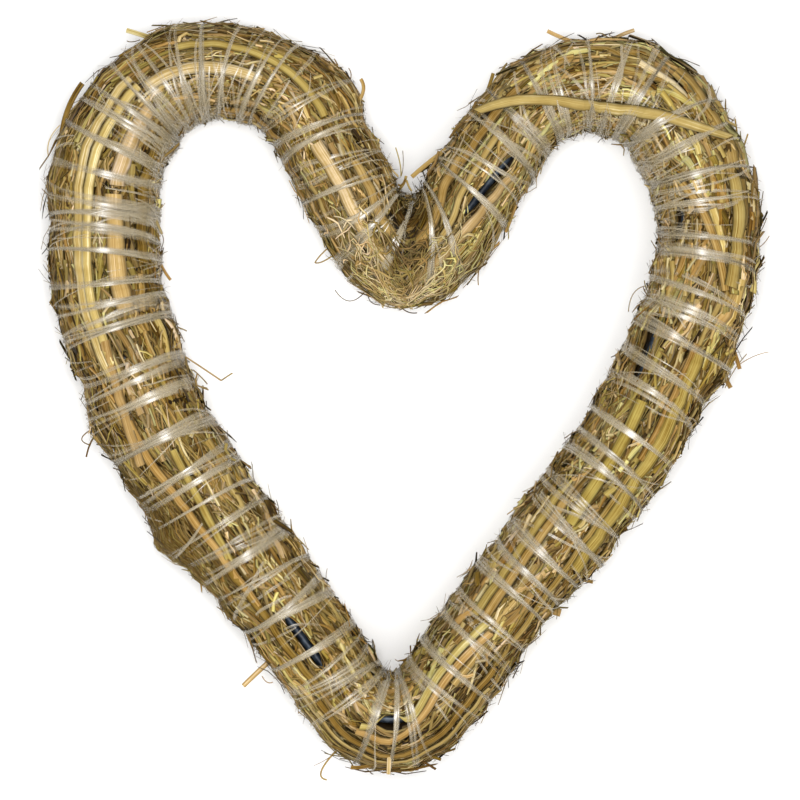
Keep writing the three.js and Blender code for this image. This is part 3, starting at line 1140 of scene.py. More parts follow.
PATCHES = (
    Patch(0.076, 110, 0.05, 60, 0.8, 0.06),
    Patch(0.181, 25, 0.07, 55, 1.7, 0.02, 1.05),
    Patch(0.251, 40, 0.04, 50, 1.6, -0.02),
    Patch(0.411, 120, 0.05, 40, 2.0, 0.02),
    Patch(0.491, 30, 0.06, 50, 0.9, -0.12, 0.8),
    Patch(0.591, 60, 0.06, 40, 1.1, -0.08),
    Patch(0.681, 10, 0.035, 50, 0.5, -0.02, 0.8),
    Patch(0.761, 150, 0.1, 45, 1.4, -0.1),
    Patch(0.811, 15, 0.07, 50, 0.8, -0.1, 0.85),
    Patch(0.891, 60, 0.05, 60, 0.9, 0.0),
    Patch(0.961, 60, 0.04, 60, 0.8, -0.06),
    # painted shade: these two patches darken the straw in the notch's crease
    Patch(0.031, 40, 0.02, 60, 0.8, -0.1, 0.8),
    Patch(0.031, 60, 0.01, 22, 0.8, -0.25, 0.4),
)


def scattered(count: int, seed: int) -> tuple[Patch, ...]:
    """Small patches all over, so that neighbouring stalks are alike.

    Args:
        count: How many.
        seed: Where the numbers start.

    Returns:
        The patches.
    """
    rng = np.random.default_rng(seed)
    return tuple(
        Patch(
            rng.random(),
            rng.uniform(0, 360),
            rng.uniform(0.006, 0.03),
            rng.uniform(4, 13),
            width=rng.uniform(0.75, 1.6),
            tone=rng.normal(0, 0.1),
            shade=rng.uniform(0.7, 1.2),
        )
        for _ in range(count)
    )


ALL_PATCHES = (*PATCHES, *scattered(420, 31))


def patched(strands: Strands) -> Strands:
    """Strands changed by the patches that they lie in.

    Args:
        strands: The strands.

    Returns:
        New strands.
    """
    width, tone, shade = strands.width.copy(), strands.tone.copy(), strands.shade.copy()
    thickness = strands.thickness.copy()
    for patch in ALL_PATCHES:
        gone = away(strands.along, patch.along) / patch.reach
        aside = turned(strands.angle - math.radians(patch.angle)) / math.radians(patch.spread)
        weight = np.exp(-(gone**2) - aside**2)
        width *= patch.width**weight
        thickness *= math.sqrt(patch.width) ** weight
        tone += patch.tone * weight
        shade *= patch.shade**weight
    return replace(strands, width=width, thickness=thickness, tone=np.clip(tone, 0.02, 1), shade=shade)


@dataclass
class StrawCore:
    """The inside of the bundle, seen between the stalks, coloured near black: painted shade for the shadow in
    the gaps.
    """

    workshop: Workshop
    depth: float = 4.4 * MM  # of its surface under the bundle's
    trench: float = 7 * MM  # how much deeper it is under the gaps over the wire
    trench_width: float = 4.5 * MM
    stations: int = 300
    places_round: int = 32

    def build(self, material: Material) -> Piece:
        """Builds the core.

        Args:
            material: Its finish.

        Returns:
            The piece.
        """
        mesh = sheet(self.stations, self.places_round)
        grid = positions(mesh)
        along, angle = grid[:, 0] + 0.5, -(grid[:, 1] + 0.5) * FULL_TURN
        bundle, wire, winding = self.workshop.bundle, self.workshop.wire, self.workshop.winding
        gone = turned(angle - wire.angle(along)) * bundle.radius
        trench = self.trench * wire.open(along) * bell(gone / self.trench_width)
        lift = -self.depth - trench - winding.bite * winding.dip(along, angle)
        lift -= 0.8 * bundle.crease(along, angle)
        move(mesh, bundle.rest(along, angle, lift))
        # painted shade: the low tone and shade colour the core near black, for the shadow deep between the
        # stalks
        for name, value in (("tone", 0.16), ("shade", 0.2), ("hue", 0.5), ("rim", 0)):
            store(mesh, name, np.full(len(grid), value, dtype=float))
        store(mesh, "grain", np.stack([along * bundle.line.length, angle * 22 * MM, angle * 0], axis=1))
        return finished("straw_core", sewn(mesh), material, Slot.STRAW)


STALK_LONG = StrandKind(
    StrandShape(3, 16), (40 * MM, 85 * MM), (1.3 * MM, 5 * MM), (0.25, 0.5),
    6, 0.025, 0.4 * MM, (-3.3 * MM, -0.7 * MM), 0.5 * MM, (0.2, 0.95), (0.68, 1.18),
)
STALK_MEDIUM = StrandKind(
    StrandShape(3, 10), (20 * MM, 45 * MM), (1.1 * MM, 4.3 * MM), (0.25, 0.5),
    8, 0.03, 0.35 * MM, (-3.0 * MM, -0.5 * MM), 0.6 * MM, (0.2, 1.0), (0.64, 1.2),
)
STALK_SHORT = StrandKind(
    StrandShape(3, 5), (9 * MM, 26 * MM), (0.9 * MM, 4 * MM), (0.25, 0.5),
    13, 0.03, 0.25 * MM, (-2.6 * MM, -0.2 * MM), 0.7 * MM, (0.15, 1.1), (0.6, 1.25),
)
CHIP = StrandKind(
    StrandShape(3, 2), (2 * MM, 10 * MM), (0.5 * MM, 2.5 * MM), (0.2, 0.45),
    30, 0.06, 0.1 * MM, (-1.5 * MM, 0.3 * MM), 0.8 * MM, (0.25, 1.15), (0.6, 1.25), roll=35,
)
FIBRE = StrandKind(
    StrandShape(3, 6), (8 * MM, 30 * MM), (0.25 * MM, 0.7 * MM), (0.7, 1.0),
    13, 0.09, 0.8 * MM, (-1.4 * MM, 0.2 * MM), 0.8 * MM, (0.2, 1.2), (0.6, 1.2), taper=0.5,
)
FUZZ = StrandKind(
    StrandShape(3, 3), (2 * MM, 8 * MM), (0.16 * MM, 0.45 * MM), (0.8, 1.0),
    32, 0.2, 0.4 * MM, (-0.9 * MM, 0.1 * MM), 3.2 * MM, (0.1, 1.0), (0.6, 1.1), taper=0.6,
)
SPRIG = StrandKind(
    StrandShape(3, 4), (7 * MM, 22 * MM), (0.5 * MM, 1.9 * MM), (0.3, 0.7),
    13, 0.06, 0.2 * MM, (-1.0 * MM, 0.0 * MM), 4.5 * MM, (0.2, 0.9), (0.6, 1.1),
)
MAT_HAIR = StrandKind(
    StrandShape(3, 6), (12 * MM, 34 * MM), (0.3 * MM, 0.8 * MM), (0.6, 1.0),
    7, 0.05, 0.6 * MM, (-0.2 * MM, 1.3 * MM), 1.0 * MM, (0.3, 0.8), (0.6, 1.0), taper=0.6,
)
CHAFF = StrandKind(
    StrandShape(3, 4), (3 * MM, 10 * MM), (0.4 * MM, 1.3 * MM), (0.3, 0.7),
    55, 0.25, 0.5 * MM, (1.6 * MM, 4.2 * MM), 0.8 * MM, (0.7, 1.15), (0.9, 1.25), taper=0.3, roll=40,
)
FILM_STRAND = StrandKind(
    StrandShape(3, 10), (14 * MM, 55 * MM), (0.5 * MM, 1.9 * MM), (0.06, 0.12),
    12, 0.03, 0.4 * MM, (0.7 * MM, 1.1 * MM), 0.0, (0.4, 0.6), (1, 1), taper=0.4, roll=4,
)


@dataclass(frozen=True)
class Region:
    """A part of the bundle that strands are gathered in."""

    along: float
    reach: float  # in shares of the way round
    angle: float  # in degrees round the bundle
    spread: float

    def gather(self, strands: Strands, rng: np.random.Generator) -> Strands:
        """The strands, moved into the region."""
        along = np.mod(self.along + rng.normal(0, self.reach, len(strands)), 1)
        angle = np.radians(self.angle + rng.normal(0, self.spread, len(strands)))
        return replace(strands, along=along, angle=angle)


def facing(strands: Strands, rng: np.random.Generator, share: float) -> Strands:
    """The strands, with a share of those on the underside moved to the face."""
    below = (np.sin(strands.angle) < -0.2) & (rng.random(len(strands)) < share)
    return replace(strands, angle=np.where(below, -strands.angle, strands.angle))


HELD = 0.15  # how much of an end's rise is left on the face


def held(strands: Strands) -> Strands:
    """The strands, with the ends of those on the face held down by the film."""
    free = HELD + (1 - HELD) * smoothstep(-np.abs(np.sin(strands.angle)), -0.75, -0.4)
    return replace(strands, start_rise=strands.start_rise * free, end_rise=strands.end_rise * free)


@dataclass
class StrawStalks:
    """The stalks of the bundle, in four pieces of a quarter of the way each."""

    workshop: Workshop
    kinds: tuple[tuple[StrandKind, int], ...] = ((STALK_LONG, 800), (STALK_MEDIUM, 2300), (STALK_SHORT, 5800))
    quarters: int = 4
    sunk: float = 2.2 * MM
    seed: int = 3

    def build(self, material: Material) -> list[Piece]:
        """Builds the stalks.

        Args:
            material: Their finish.

        Returns:
            The pieces, in order round the heart.
        """
        rng = np.random.default_rng(self.seed)
        drawn = [
            (kind.shape, patched(facing(kind.draw(rng, count), rng, 0.25))) for kind, count in self.kinds
        ]
        pieces = []
        for quarter in range(self.quarters):
            shape = bmesh.new()
            for prism, strands in drawn:
                here = np.floor(strands.along * self.quarters) == quarter
                part = strands.chosen(here).mesh(prism, self.workshop, sunk=self.sunk)
                shape.from_mesh(part)
                bpy.data.meshes.remove(part)
            pieces.append(finished(f"straw_stalks_{quarter + 1}", baked(shape), material, Slot.STRAW))
        return pieces


@dataclass
class StrawLitter:
    """Chopped bits and fine fibres that lie on the stalks and between them."""

    workshop: Workshop
    name: str
    kind: StrandKind
    count: int
    seed: int
    region: Region | None = None
    sunk: float = 1.8 * MM

    def build(self, material: Material) -> Piece:
        """Builds the bits.

        Args:
            material: Their finish.

        Returns:
            The piece.
        """
        rng = np.random.default_rng(self.seed)
        strands = facing(self.kind.draw(rng, self.count), rng, 0.5)
        if self.region:
            strands = self.region.gather(strands, rng)
        strands = held(patched(strands))
        mesh = strands.mesh(self.kind.shape, self.workshop, sunk=self.sunk)
        return finished(self.name, mesh, material, Slot.STRAW)


@dataclass(frozen=True)
class Stalk:
    """A stalk that stands out by its size or colour, from one (along, degrees) to another.

    bow is how many degrees its middle is bowed sideways, lift is how high its middle lies, and
    start_rise how much higher its start is.
    """

    start: tuple[float, float]
    end: tuple[float, float]
    width: float
    tone: float
    bow: float = 0
    lift: float = 0.5 * MM
    start_rise: float = 0
    shade: float = 1
    flatness: float = 0.16

    def reach(self, bundle: Bundle) -> tuple[float, float]:
        """Its length, and its heading in radians from the bundle's direction.

        Args:
            bundle: What it lies on.

        Returns:
            Both.
        """
        forward = (self.end[0] - self.start[0]) * bundle.line.length
        round_way = math.radians(self.end[1] - self.start[1]) * bundle.radius
        return math.hypot(forward, round_way), math.atan2(round_way, forward)

    def local(self, bundle: Bundle, along: Floats, angle: Floats) -> tuple[Floats, Floats]:
        """Places on the bundle, seen from the stalk.

        Args:
            bundle: What it lies on.
            along: Shares of the way round.
            angle: Radians round the bundle.

        Returns:
            Shares of the stalk's length, and how far aside of its middle line they are.
        """
        length, heading = self.reach(bundle)
        forward = away(along, (self.start[0] + self.end[0]) / 2) * bundle.line.length
        round_way = turned(angle - math.radians((self.start[1] + self.end[1]) / 2)) * bundle.radius
        share = (forward * math.cos(heading) + round_way * math.sin(heading)) / length + 0.5
        aside = round_way * math.cos(heading) - forward * math.sin(heading)
        bow = math.radians(self.bow) * bundle.radius * 4 * share * (1 - share)
        return share, aside - bow


BROAD_STALKS = (
    Stalk((0.0985, 46), (0.2125, 52), 5.6 * MM, 0.72, bow=74, lift=1.6 * MM, start_rise=2 * MM, flatness=0.2),
    Stalk((0.221, 120), (0.276, 70), 3.6 * MM, 0.64),
    Stalk((0.224, 62), (0.271, 66), 6 * MM, 0.6),
    Stalk((0.301, 72), (0.416, 58), 6 * MM, 0.68, shade=1.08),
    Stalk((0.301, 78), (0.361, 76), 3.5 * MM, 0.45),
    Stalk((0.361, 74), (0.461, 62), 3.2 * MM, 0.5),
    Stalk((0.391, 120), (0.461, 112), 8 * MM, 0.6),
    Stalk((0.331, 105), (0.401, 96), 5 * MM, 0.62),
    Stalk((0.461, 96), (0.541, 82), 7 * MM, 0.76, bow=14),
    Stalk((0.471, 60), (0.561, 66), 3.4 * MM, 0.42),
    Stalk((0.481, 48), (0.551, 52), 2.6 * MM, 0.6),
    Stalk((0.561, 76), (0.631, 72), 3.6 * MM, 0.38),
    Stalk((0.611, 74), (0.711, 70), 3.6 * MM, 0.56),
    Stalk((0.631, 78), (0.691, 96), 3 * MM, 0.66),
    Stalk((0.691, 60), (0.751, 82), 4 * MM, 0.66),
    Stalk((0.731, 76), (0.871, 80), 7.5 * MM, 0.8, shade=1.1),
    Stalk((0.761, 112), (0.816, 108), 6.5 * MM, 0.78),
    Stalk((0.821, 112), (0.866, 110), 6 * MM, 0.8),
    Stalk((0.781, 140), (0.861, 142), 6 * MM, 0.36),
    Stalk((0.871, 92), (0.931, 98), 5 * MM, 0.8),
    Stalk((0.891, 66), (0.961, 76), 4 * MM, 0.62),
    Stalk((0.911, 150), (0.961, 146), 5 * MM, 0.45),
    Stalk((0.972, 100), (1.028, 90), 6 * MM, 0.8, flatness=0.3),
    Stalk((0.985, 70), (1.026, 66), 4 * MM, 0.6),
    Stalk((1.033, 96), (1.084, 116), 5.5 * MM, 0.72),
    Stalk((1.036, 68), (1.08, 56), 4.5 * MM, 0.58),
    Stalk((0.061, 60), (0.121, 66), 4 * MM, 0.56),
    Stalk((0.041, 84), (0.101, 80), 3 * MM, 0.66),
)


@dataclass
class BroadStalks:
    """The broad or bright stalks that the eye picks out."""

    workshop: Workshop
    stalks: tuple[Stalk, ...]
    name: str = "straw_broad_stalks"
    shape: StrandShape = StrandShape(6, 24)
    strip: float = 4.5 * MM  # the usual width of the ribs that a broad stalk is made of
    seed: int = 17

    def strands(self) -> Strands:
        """The stalks as strands.

        Returns:
            Strands, one for each rib.
        """
        rng = np.random.default_rng(self.seed)
        bundle = self.workshop.bundle
        rows = []
        for stalk in self.stalks:
            bow = math.radians(stalk.bow) * bundle.radius
            length, heading = stalk.reach(bundle)
            count = max(1, round(stalk.width / self.strip))
            for number in range(count):
                aside = ((number + 0.5) / count - 0.5) * stalk.width
                aside_along = -math.sin(heading) * aside / bundle.line.length
                aside_round = (math.cos(heading) * aside + bow / 2) / bundle.radius
                rows.append(
                    Strands(
                        along=(stalk.start[0] + stalk.end[0]) / 2 + aside_along + rng.normal(0, 0.001),
                        angle=math.radians((stalk.start[1] + stalk.end[1]) / 2) + aside_round,
                        length=length * rng.uniform(0.94, 1.03),
                        width=stalk.width / count * 1.2,
                        thickness=stalk.width * stalk.flatness / math.sqrt(count),
                        heading=heading + rng.normal(0, 0.006),
                        bow=bow,
                        wiggle=0.1 * MM,
                        lift=stalk.lift + rng.normal(0, 0.12 * MM),
                        start_rise=stalk.start_rise,
                        end_rise=0,
                        roll=rng.normal(0, 0.08),
                        taper=0,
                        tone=stalk.tone + rng.normal(0, 0.05),
                        shade=stalk.shade * rng.uniform(0.9, 1.05),
                    )
                )
        names = Strands.__dataclass_fields__
        return Strands(**{n: np.array([getattr(row, n) for row in rows], dtype=float) for n in names})

    def build(self, material: Material) -> Piece:
        """Builds the stalks.

        Args:
            material: Their finish.

        Returns:
            The piece.
        """
        mesh = self.strands().mesh(self.shape, self.workshop)
        return finished(self.name, mesh, material, Slot.STRAW, sharp=12)


@dataclass(frozen=True)
class LooseEnd:
    """A stalk or hair that stands out of the bundle: where it starts, passes and ends, in millimetres."""

    root: tuple[float, float]
    middle: tuple[float, float]
    tip: tuple[float, float]
    width: float = 0.4
    tone: float = 0.5
    height: float = 22


LOOSE_ENDS = tuple(LooseEnd(*row) for row in (
    ((-1.4, 93.4), (-1.7, 98.5), (-3.6, 105.5), 0.5, 0.6),
    ((-1.2, 93.7), (-0.4, 98), (-0.6, 104.2), 0.3, 0.2),
    ((-2, 87.7), (-0.1, 90.2), (0.8, 93.2), 1.2, 0.6, 26),
    ((1, 91.5), (2.1, 88.5), (3.3, 86.8), 0.9, 0.7, 26),
    ((-2.6, 89.4), (-0.9, 89.4), (0.4, 91.9), 0.8, 0.15, 28),
    ((17.7, 104.2), (11, 99.1), (3.2, 92.4), 2, 0.6, 28),
    ((-20, 123.7), (-17.2, 129.2), (-18.3, 134), 1.6, 0.6, 26),
    ((-28, 132), (-27.3, 137), (-29.5, 142.5), 0.4, 0.3, 26),
    ((-25.5, 130), (-22.5, 134.5), (-23.4, 138.6), 0.4, 0.3, 26),
    ((140.5, 12.6), (147.4, 16.9), (154.2, 19), 0.35, 0.4),
    ((-16, 45.4), (-22.9, 40.6), (-29.3, 45.3), 0.4, 0.15),
    ((-15, 46), (-14.5, 40.8), (-10, 38.9), 0.4, 0.15),
    ((-10.6, 43.2), (-9.8, 40.2), (-9, 37.7), 0.5, 0.8),
    ((-6.8, 43.2), (-8.1, 40.2), (-9, 37.7), 0.5, 0.8),
    ((-1.7, 38.5), (1.6, 36), (5.5, 35.6), 0.5, 0.2),
    ((34.8, 63.1), (31.8, 54.7), (31.4, 47.2), 0.5, 0.5),
    ((48.3, 83.9), (45.7, 76.7), (43, 69.6), 1.4, 0.6),
    ((77.1, 148.7), (68.6, 151.3), (60.5, 154.7), 1.8, 0.75),
    ((88.1, 151.3), (92.3, 153.4), (97.4, 155.2), 1.7, 0.9),
    ((81.3, 153.8), (83.4, 154), (85.6, 153), 0.5, 0.4),
    ((32.2, 123.3), (35.1, 129.2), (37.7, 136.9), 1.6, 0.45),
    ((143.2, 104.6), (144.5, 108), (145.5, 111.4), 0.7, 0.5),
    ((141.1, 111.8), (140.6, 114.8), (140.1, 117.8), 0.7, 0.5),
    ((147.4, 66.5), (150.8, 69.9), (153.4, 75.8), 0.35, 0.25),
    ((148.3, 62.3), (151.7, 64.4), (154.6, 68.2), 0.35, 0.3),
    ((146.6, 57.2), (150, 55.9), (152.9, 57.2), 0.35, 0.4),
    ((137.3, 25), (139.8, 19), (141.9, 11.8), 1.8, 0.55),
    ((132.2, 15.6), (135.1, 9.7), (138.1, 3.8), 2, 0.5),
    ((136, 3.8), (139.8, 11.4), (144.9, 18.2), 0.4, 0.3),
    ((-100, 149.5), (-108.5, 152.4), (-117.4, 155), 2.2, 0.88),
    ((-111.9, 151.3), (-115.3, 150.4), (-117.4, 150.8), 0.4, 0.3),
    ((-144.6, 102.5), (-142.5, 118.2), (-135.2, 131.8), 2.5, 0.3, 26),
    ((-145.8, 115.2), (-150.1, 108.9), (-150.5, 102.1), 0.5, 0.8),
    ((-95.8, 112.7), (-94.1, 112.3), (-93.3, 110.2), 0.5, 0.15),
    ((-104.1, 70.3), (-102, 67.1), (-103, 62.3), 0.35, 0.15),
    ((-104.3, 58.9), (-101.8, 53.8), (-98.8, 49.5), 1.3, 0.6),
    ((-93, 17.2), (-85.1, 12.1), (-77.3, 6.9), 0.7, 0.6),
    ((-77.4, 6.9), (-75, 8.5), (-72.5, 10.1), 0.6, 0.45, 24),
    ((-95.8, 29.4), (-94, 28.8), (-92, 27.9), 0.5, 0.4),
    ((-89.5, 11.5), (-86.2, 8.6), (-83.3, 5.4), 0.5, 0.3),
    ((-131, -13), (-136.5, -17.5), (-132.7, -20.4), 0.5, 0.25),
    ((-130.5, -16), (-133, -20), (-134.5, -25.5), 0.8, 0.2),
    ((72, -76.5), (76, -77.5), (79.9, -78.4), 1.5, 0.5),
    ((-50.5, -106.4), (-58.5, -113.2), (-68, -122.1), 2.2, 0.85),
    ((-60.2, -118.3), (-58.1, -120.8), (-55.6, -120.8), 0.4, 0.4),
    ((40.6, -81.8), (52.5, -86.9), (66.1, -91.2), 3.5, 0.6),
    ((102.1, 47), (97, 43.6), (94.9, 36), 0.4, 0.3),
    ((-30.6, 59.7), (-34.8, 57.2), (-37.8, 56.8), 0.6, 0.4),
    ((-32.7, 62.7), (-35.7, 59.7), (-37.8, 56.8), 0.6, 0.5),
    ((-26, -147), (-34.8, -157.7), (-32.7, -161.9), 0.8, 0.5),
    ((-28, -150), (-33, -153.5), (-38.2, -156), 0.3, 0.2),
    ((-6.2, -147), (-6.3, -152), (-6.6, -157.5), 1.8, 0.85, 35),
    ((-9, -153.5), (-16, -155.8), (-22.5, -156), 1.8, 0.4, 26),
    ((-3, -155), (1.5, -156.6), (6, -156.7), 1.4, 0.3, 26),
    ((6, -152.5), (10, -154.6), (13.3, -156.6), 1.1, 0.2, 28),
    ((9, -151), (12.2, -151.6), (15.5, -152.6), 1.3, 0.15, 28),
))


@dataclass
class LooseEnds:
    """The stalks and hairs that stand out of the bundle's outline."""

    workshop: Workshop
    ends: tuple[LooseEnd, ...] = LOOSE_ENDS
    shape: StrandShape = StrandShape(5, 12)
    flatness: float = 0.5
    slope: float = 0.12  # how steeply they rise outwards
    own_grain: float = 2.11  # how far apart the streaks of two ends are picked
    name: str = "straw_loose_ends"

    def build(self, material: Material) -> Piece:
        """Builds the stalks and hairs.

        Args:
            material: Their finish.

        Returns:
            The piece.
        """

        def column(name: str) -> Floats:
            """A field of all the ends, one row for each."""
            return np.array([getattr(end, name) for end in self.ends])[:, None]

        mesh, prisms = self.shape.repeated(len(self.ends))
        share = prisms[..., 2] + 0.5
        root, middle, tip, width = (column(name) * MM for name in ("root", "middle", "tip", "width"))
        control = 2 * middle - (root + tip) / 2
        t = share[..., None]
        spot = root * (1 - t) ** 2 + 2 * control * t * (1 - t) + tip * t**2
        ahead = (control - root) * (1 - t) + (tip - control) * t
        length = np.linalg.norm(ahead, axis=-1)
        side = np.stack([-ahead[..., 1], ahead[..., 0]], axis=-1) / length[..., None]
        across = prisms[..., 0] * width / 2
        spot = spot + side * across[..., None]
        reach = np.linalg.norm(tip - root, axis=-1)
        z = column("height") * MM + self.slope * reach * share + prisms[..., 1] * width / 2 * self.flatness
        move(mesh, np.concatenate([spot, z[..., None]], axis=-1))

        own = np.arange(len(self.ends))[:, None] * self.own_grain + 0 * share
        store(mesh, "grain", np.stack([share * reach, across + own * 10 * MM, own], axis=-1).reshape(-1, 3))
        tone = column("tone") + 0 * share
        store(mesh, "tone", tone.reshape(-1))
        store(mesh, "shade", np.ones(tone.size))
        store(mesh, "hue", np.mod(own.reshape(-1), 1))
        # painted shade: the edges of each end are darkened, a little less than on the other strands
        store(mesh, "rim", np.abs(prisms[..., 0]).reshape(-1) * 0.8)
        return finished(self.name, mesh, material, Slot.STRAW)


@dataclass
class PlasticWinding:
    """The film: one long band, the strands that came loose from it, and stray crossings."""

    workshop: Workshop
    plies: int = 3
    width: float = 2.1 * MM  # of one ply
    splay: float = 1.3 * MM  # how far the outer plies lie from the middle where the film is opened out
    stray: float = 0.45 * MM  # how much further a ply strays
    crossing: float = 0.1  # how often a ply leaves its turn for a while
    crossing_reach: float = 4.5 * MM  # and how far
    thickness: float = 0.08 * MM  # of the film
    lift: float = 0.3 * MM  # of the lowest ply above the straw
    crinkle: float = 0.16 * MM
    uneven: float = 0.35  # how much a ply's width varies
    twisted: float = 0.45  # a ply's width where it is twisted
    opened: float = 0.4  # how much wider it is where it is opened out
    inner_opened: float = 0.45  # and on the inner side
    veil_sides: float = 0.2  # how much the film hides
    veil_inner: float = 0.17  # how much more on the inner side
    veil_crest: float = 0.26  # and on the crest, as painted highlight: more opaque where the light's glints fall, so that they show strongly
    fade: float = 0.8  # how much clearer its edges are
    steps_per_turn: int = 32
    strips: int = 3
    strays: int = 260
    gathered: int = 420  # strands that pile up on the inner side of the lobes
    lobes: tuple[float, float] = (0.19, 0.86)  # the lobes' middles, in shares of the way round
    strand_veil: float = 0.32
    seed: int = 5

    def ribbon(
        self,
        length: float,
        steps: int,
        along: Callable[[Floats], Floats],
        angle: Callable[[Floats], Floats],
        width: Callable[[Floats], Floats],
        lift: Callable[[Floats, Floats], Floats],
    ) -> Mesh:
        """A closed thin band.

        Args:
            length: Its length in turns.
            steps: How many steps it has lengthwise.
            along: Where it is after so many turns.
            angle: Its angle after so many turns.
            width: Its width after so many turns.
            lift: Its height after so many turns, at a place from -1 to 1 across it.

        Returns:
            The mesh, with the attribute grain.
        """
        bundle = self.workshop.bundle
        mesh = sheet(steps, self.strips, thickness=0.1)
        grid = positions(mesh)
        turns, across = (grid[:, 0] + 0.5) * length, 2 * grid[:, 1]
        layer = np.abs(grid[:, 2]) > 0.05
        places, angles = along(turns), angle(turns)
        half = width(turns) / 2 / bundle.stretch(places, angles) / bundle.line.length
        height = lift(turns, across) - layer * self.thickness - bundle.crease(places, angles)
        move(mesh, bundle.rest(places + across * half, angles, height))
        lengthwise = turns * FULL_TURN * bundle.radius
        store(mesh, "grain", np.stack([lengthwise, across * width(turns) / 2, lengthwise * 0], axis=1))
        store(mesh, "veil", self.veil(angles) * (1 - self.fade * across**4))
        return mesh

    @staticmethod
    def inner(angle: Floats) -> Floats:
        """0 on the outer side, easing to 1 on the inner side."""
        return smoothstep(-np.cos(angle), -0.6, 0.8)

    def veil(self, angle: Floats) -> Floats:
        """How much the film hides: less on the sides, most on the crest, raised there as painted highlight so
        that the light's glints show.
        """
        crest = np.maximum(0, np.sin(angle)) ** 6
        return self.veil_sides + self.veil_inner * self.inner(angle) + self.veil_crest * crest

    def ply(self, rng: np.random.Generator, number: int, height: float) -> Mesh:
        """One of the plies that the band splits into, all the way round.

        Args:
            rng: Where the numbers come from.
            number: Which ply it is.
            height: How high it lies.

        Returns:
            The mesh.
        """
        winding = self.workshop.winding
        knots = np.arange(winding.turns * 3 + 1) / 3
        widths = self.width * np.clip(rng.normal(1, self.uneven, len(knots)), 0.3, 2)
        strays = rng.normal(0, self.stray, len(knots))
        leaves = rng.random(len(knots)) < self.crossing
        strays += leaves * rng.choice([-1, 1], len(knots)) * self.crossing_reach
        strays /= self.workshop.bundle.line.length
        beside = (number - (self.plies - 1) / 2) * self.splay / self.workshop.bundle.line.length
        bumps = rng.normal(0, 1, (len(knots) * 4, 2))

        def along(turns: Floats) -> Floats:
            """Where the ply is after so many turns."""
            opened = winding.spread(turns) * (0.2 + self.inner(winding.angle(turns)))
            return winding.along(turns) + beside * opened + np.interp(turns, knots, strays)

        def width(turns: Floats) -> Floats:
            """The ply's width after so many turns."""
            opened = self.twisted + self.opened * winding.spread(turns)
            opened = opened + self.inner_opened * self.inner(winding.angle(turns))
            return np.interp(turns, knots, widths) * opened

        def lift(turns: Floats, across: Floats) -> Floats:
            """The ply's height, crinkled lengthwise."""
            fold = [np.interp(turns * 12, np.arange(len(bumps)), bumps[:, column]) for column in range(2)]
            return height + self.crinkle * (fold[0] * np.sin(3 * across) + fold[1] * np.cos(4 * across))

        steps = winding.turns * self.steps_per_turn
        return self.ribbon(winding.turns - 0.02, steps, along, winding.angle, width, lift)

    def build(self, material: Material) -> list[Piece]:
        """Builds the plies and the loose strands.

        Args:
            material: Their finish.

        Returns:
            The pieces.
        """
        rng = np.random.default_rng(self.seed)
        pieces = []
        for number in range(self.plies):
            ply = self.ply(rng, number, self.lift + number * 1.5 * self.thickness)
            pieces.append(finished(f"plastic_film_{number + 1}", ply, material, Slot.FILM, sharp=80))

        across = FILM_STRAND.draw(rng, self.strays + self.gathered)
        inner = np.arange(len(across)) >= self.strays
        lobe = np.where(rng.random(len(across)) < 0.5, *self.lobes) + rng.normal(0, 0.04, len(across))
        across = replace(
            facing(across, rng, 0.4),
            along=np.where(inner, lobe, across.along),
            angle=np.where(inner, math.pi + rng.normal(0, 0.6, len(across)), across.angle),
            heading=across.heading - math.pi / 2,
        )
        strands = across.mesh(FILM_STRAND.shape, self.workshop, on_top=True)
        store(strands, "veil", np.full(len(strands.vertices), self.strand_veil))
        pieces.append(finished("plastic_strands", strands, material, Slot.FILM, sharp=80))
        return pieces


@dataclass
class WireFrame:
    """The steel wire inside the bundle, smooth where the CAD model's is faceted."""

    workshop: Workshop
    diameter: float = 3.5 * MM
    stations: int = 420
    sides: int = 14

    def build(self, material: Material) -> Piece:
        """Builds the wire.

        Args:
            material: Its finish.

        Returns:
            The piece.
        """
        bundle, route = self.workshop.bundle, self.workshop.wire
        mesh = sheet(self.stations, self.sides)
        grid = positions(mesh)
        along, round_wire = grid[:, 0] + 0.5, grid[:, 1] * FULL_TURN
        points = bundle.place(along, route.angle(along), np.full(len(grid), -route.depth), uneven=False)
        _, out = bundle.line.frame(along)
        points[:, :2] += out * (self.diameter / 2 * np.cos(round_wire))[:, None]
        points[:, 2] += self.diameter / 2 * np.sin(round_wire)
        move(mesh, points)
        return finished("steel_wire", sewn(mesh), material, Slot.WIRE)


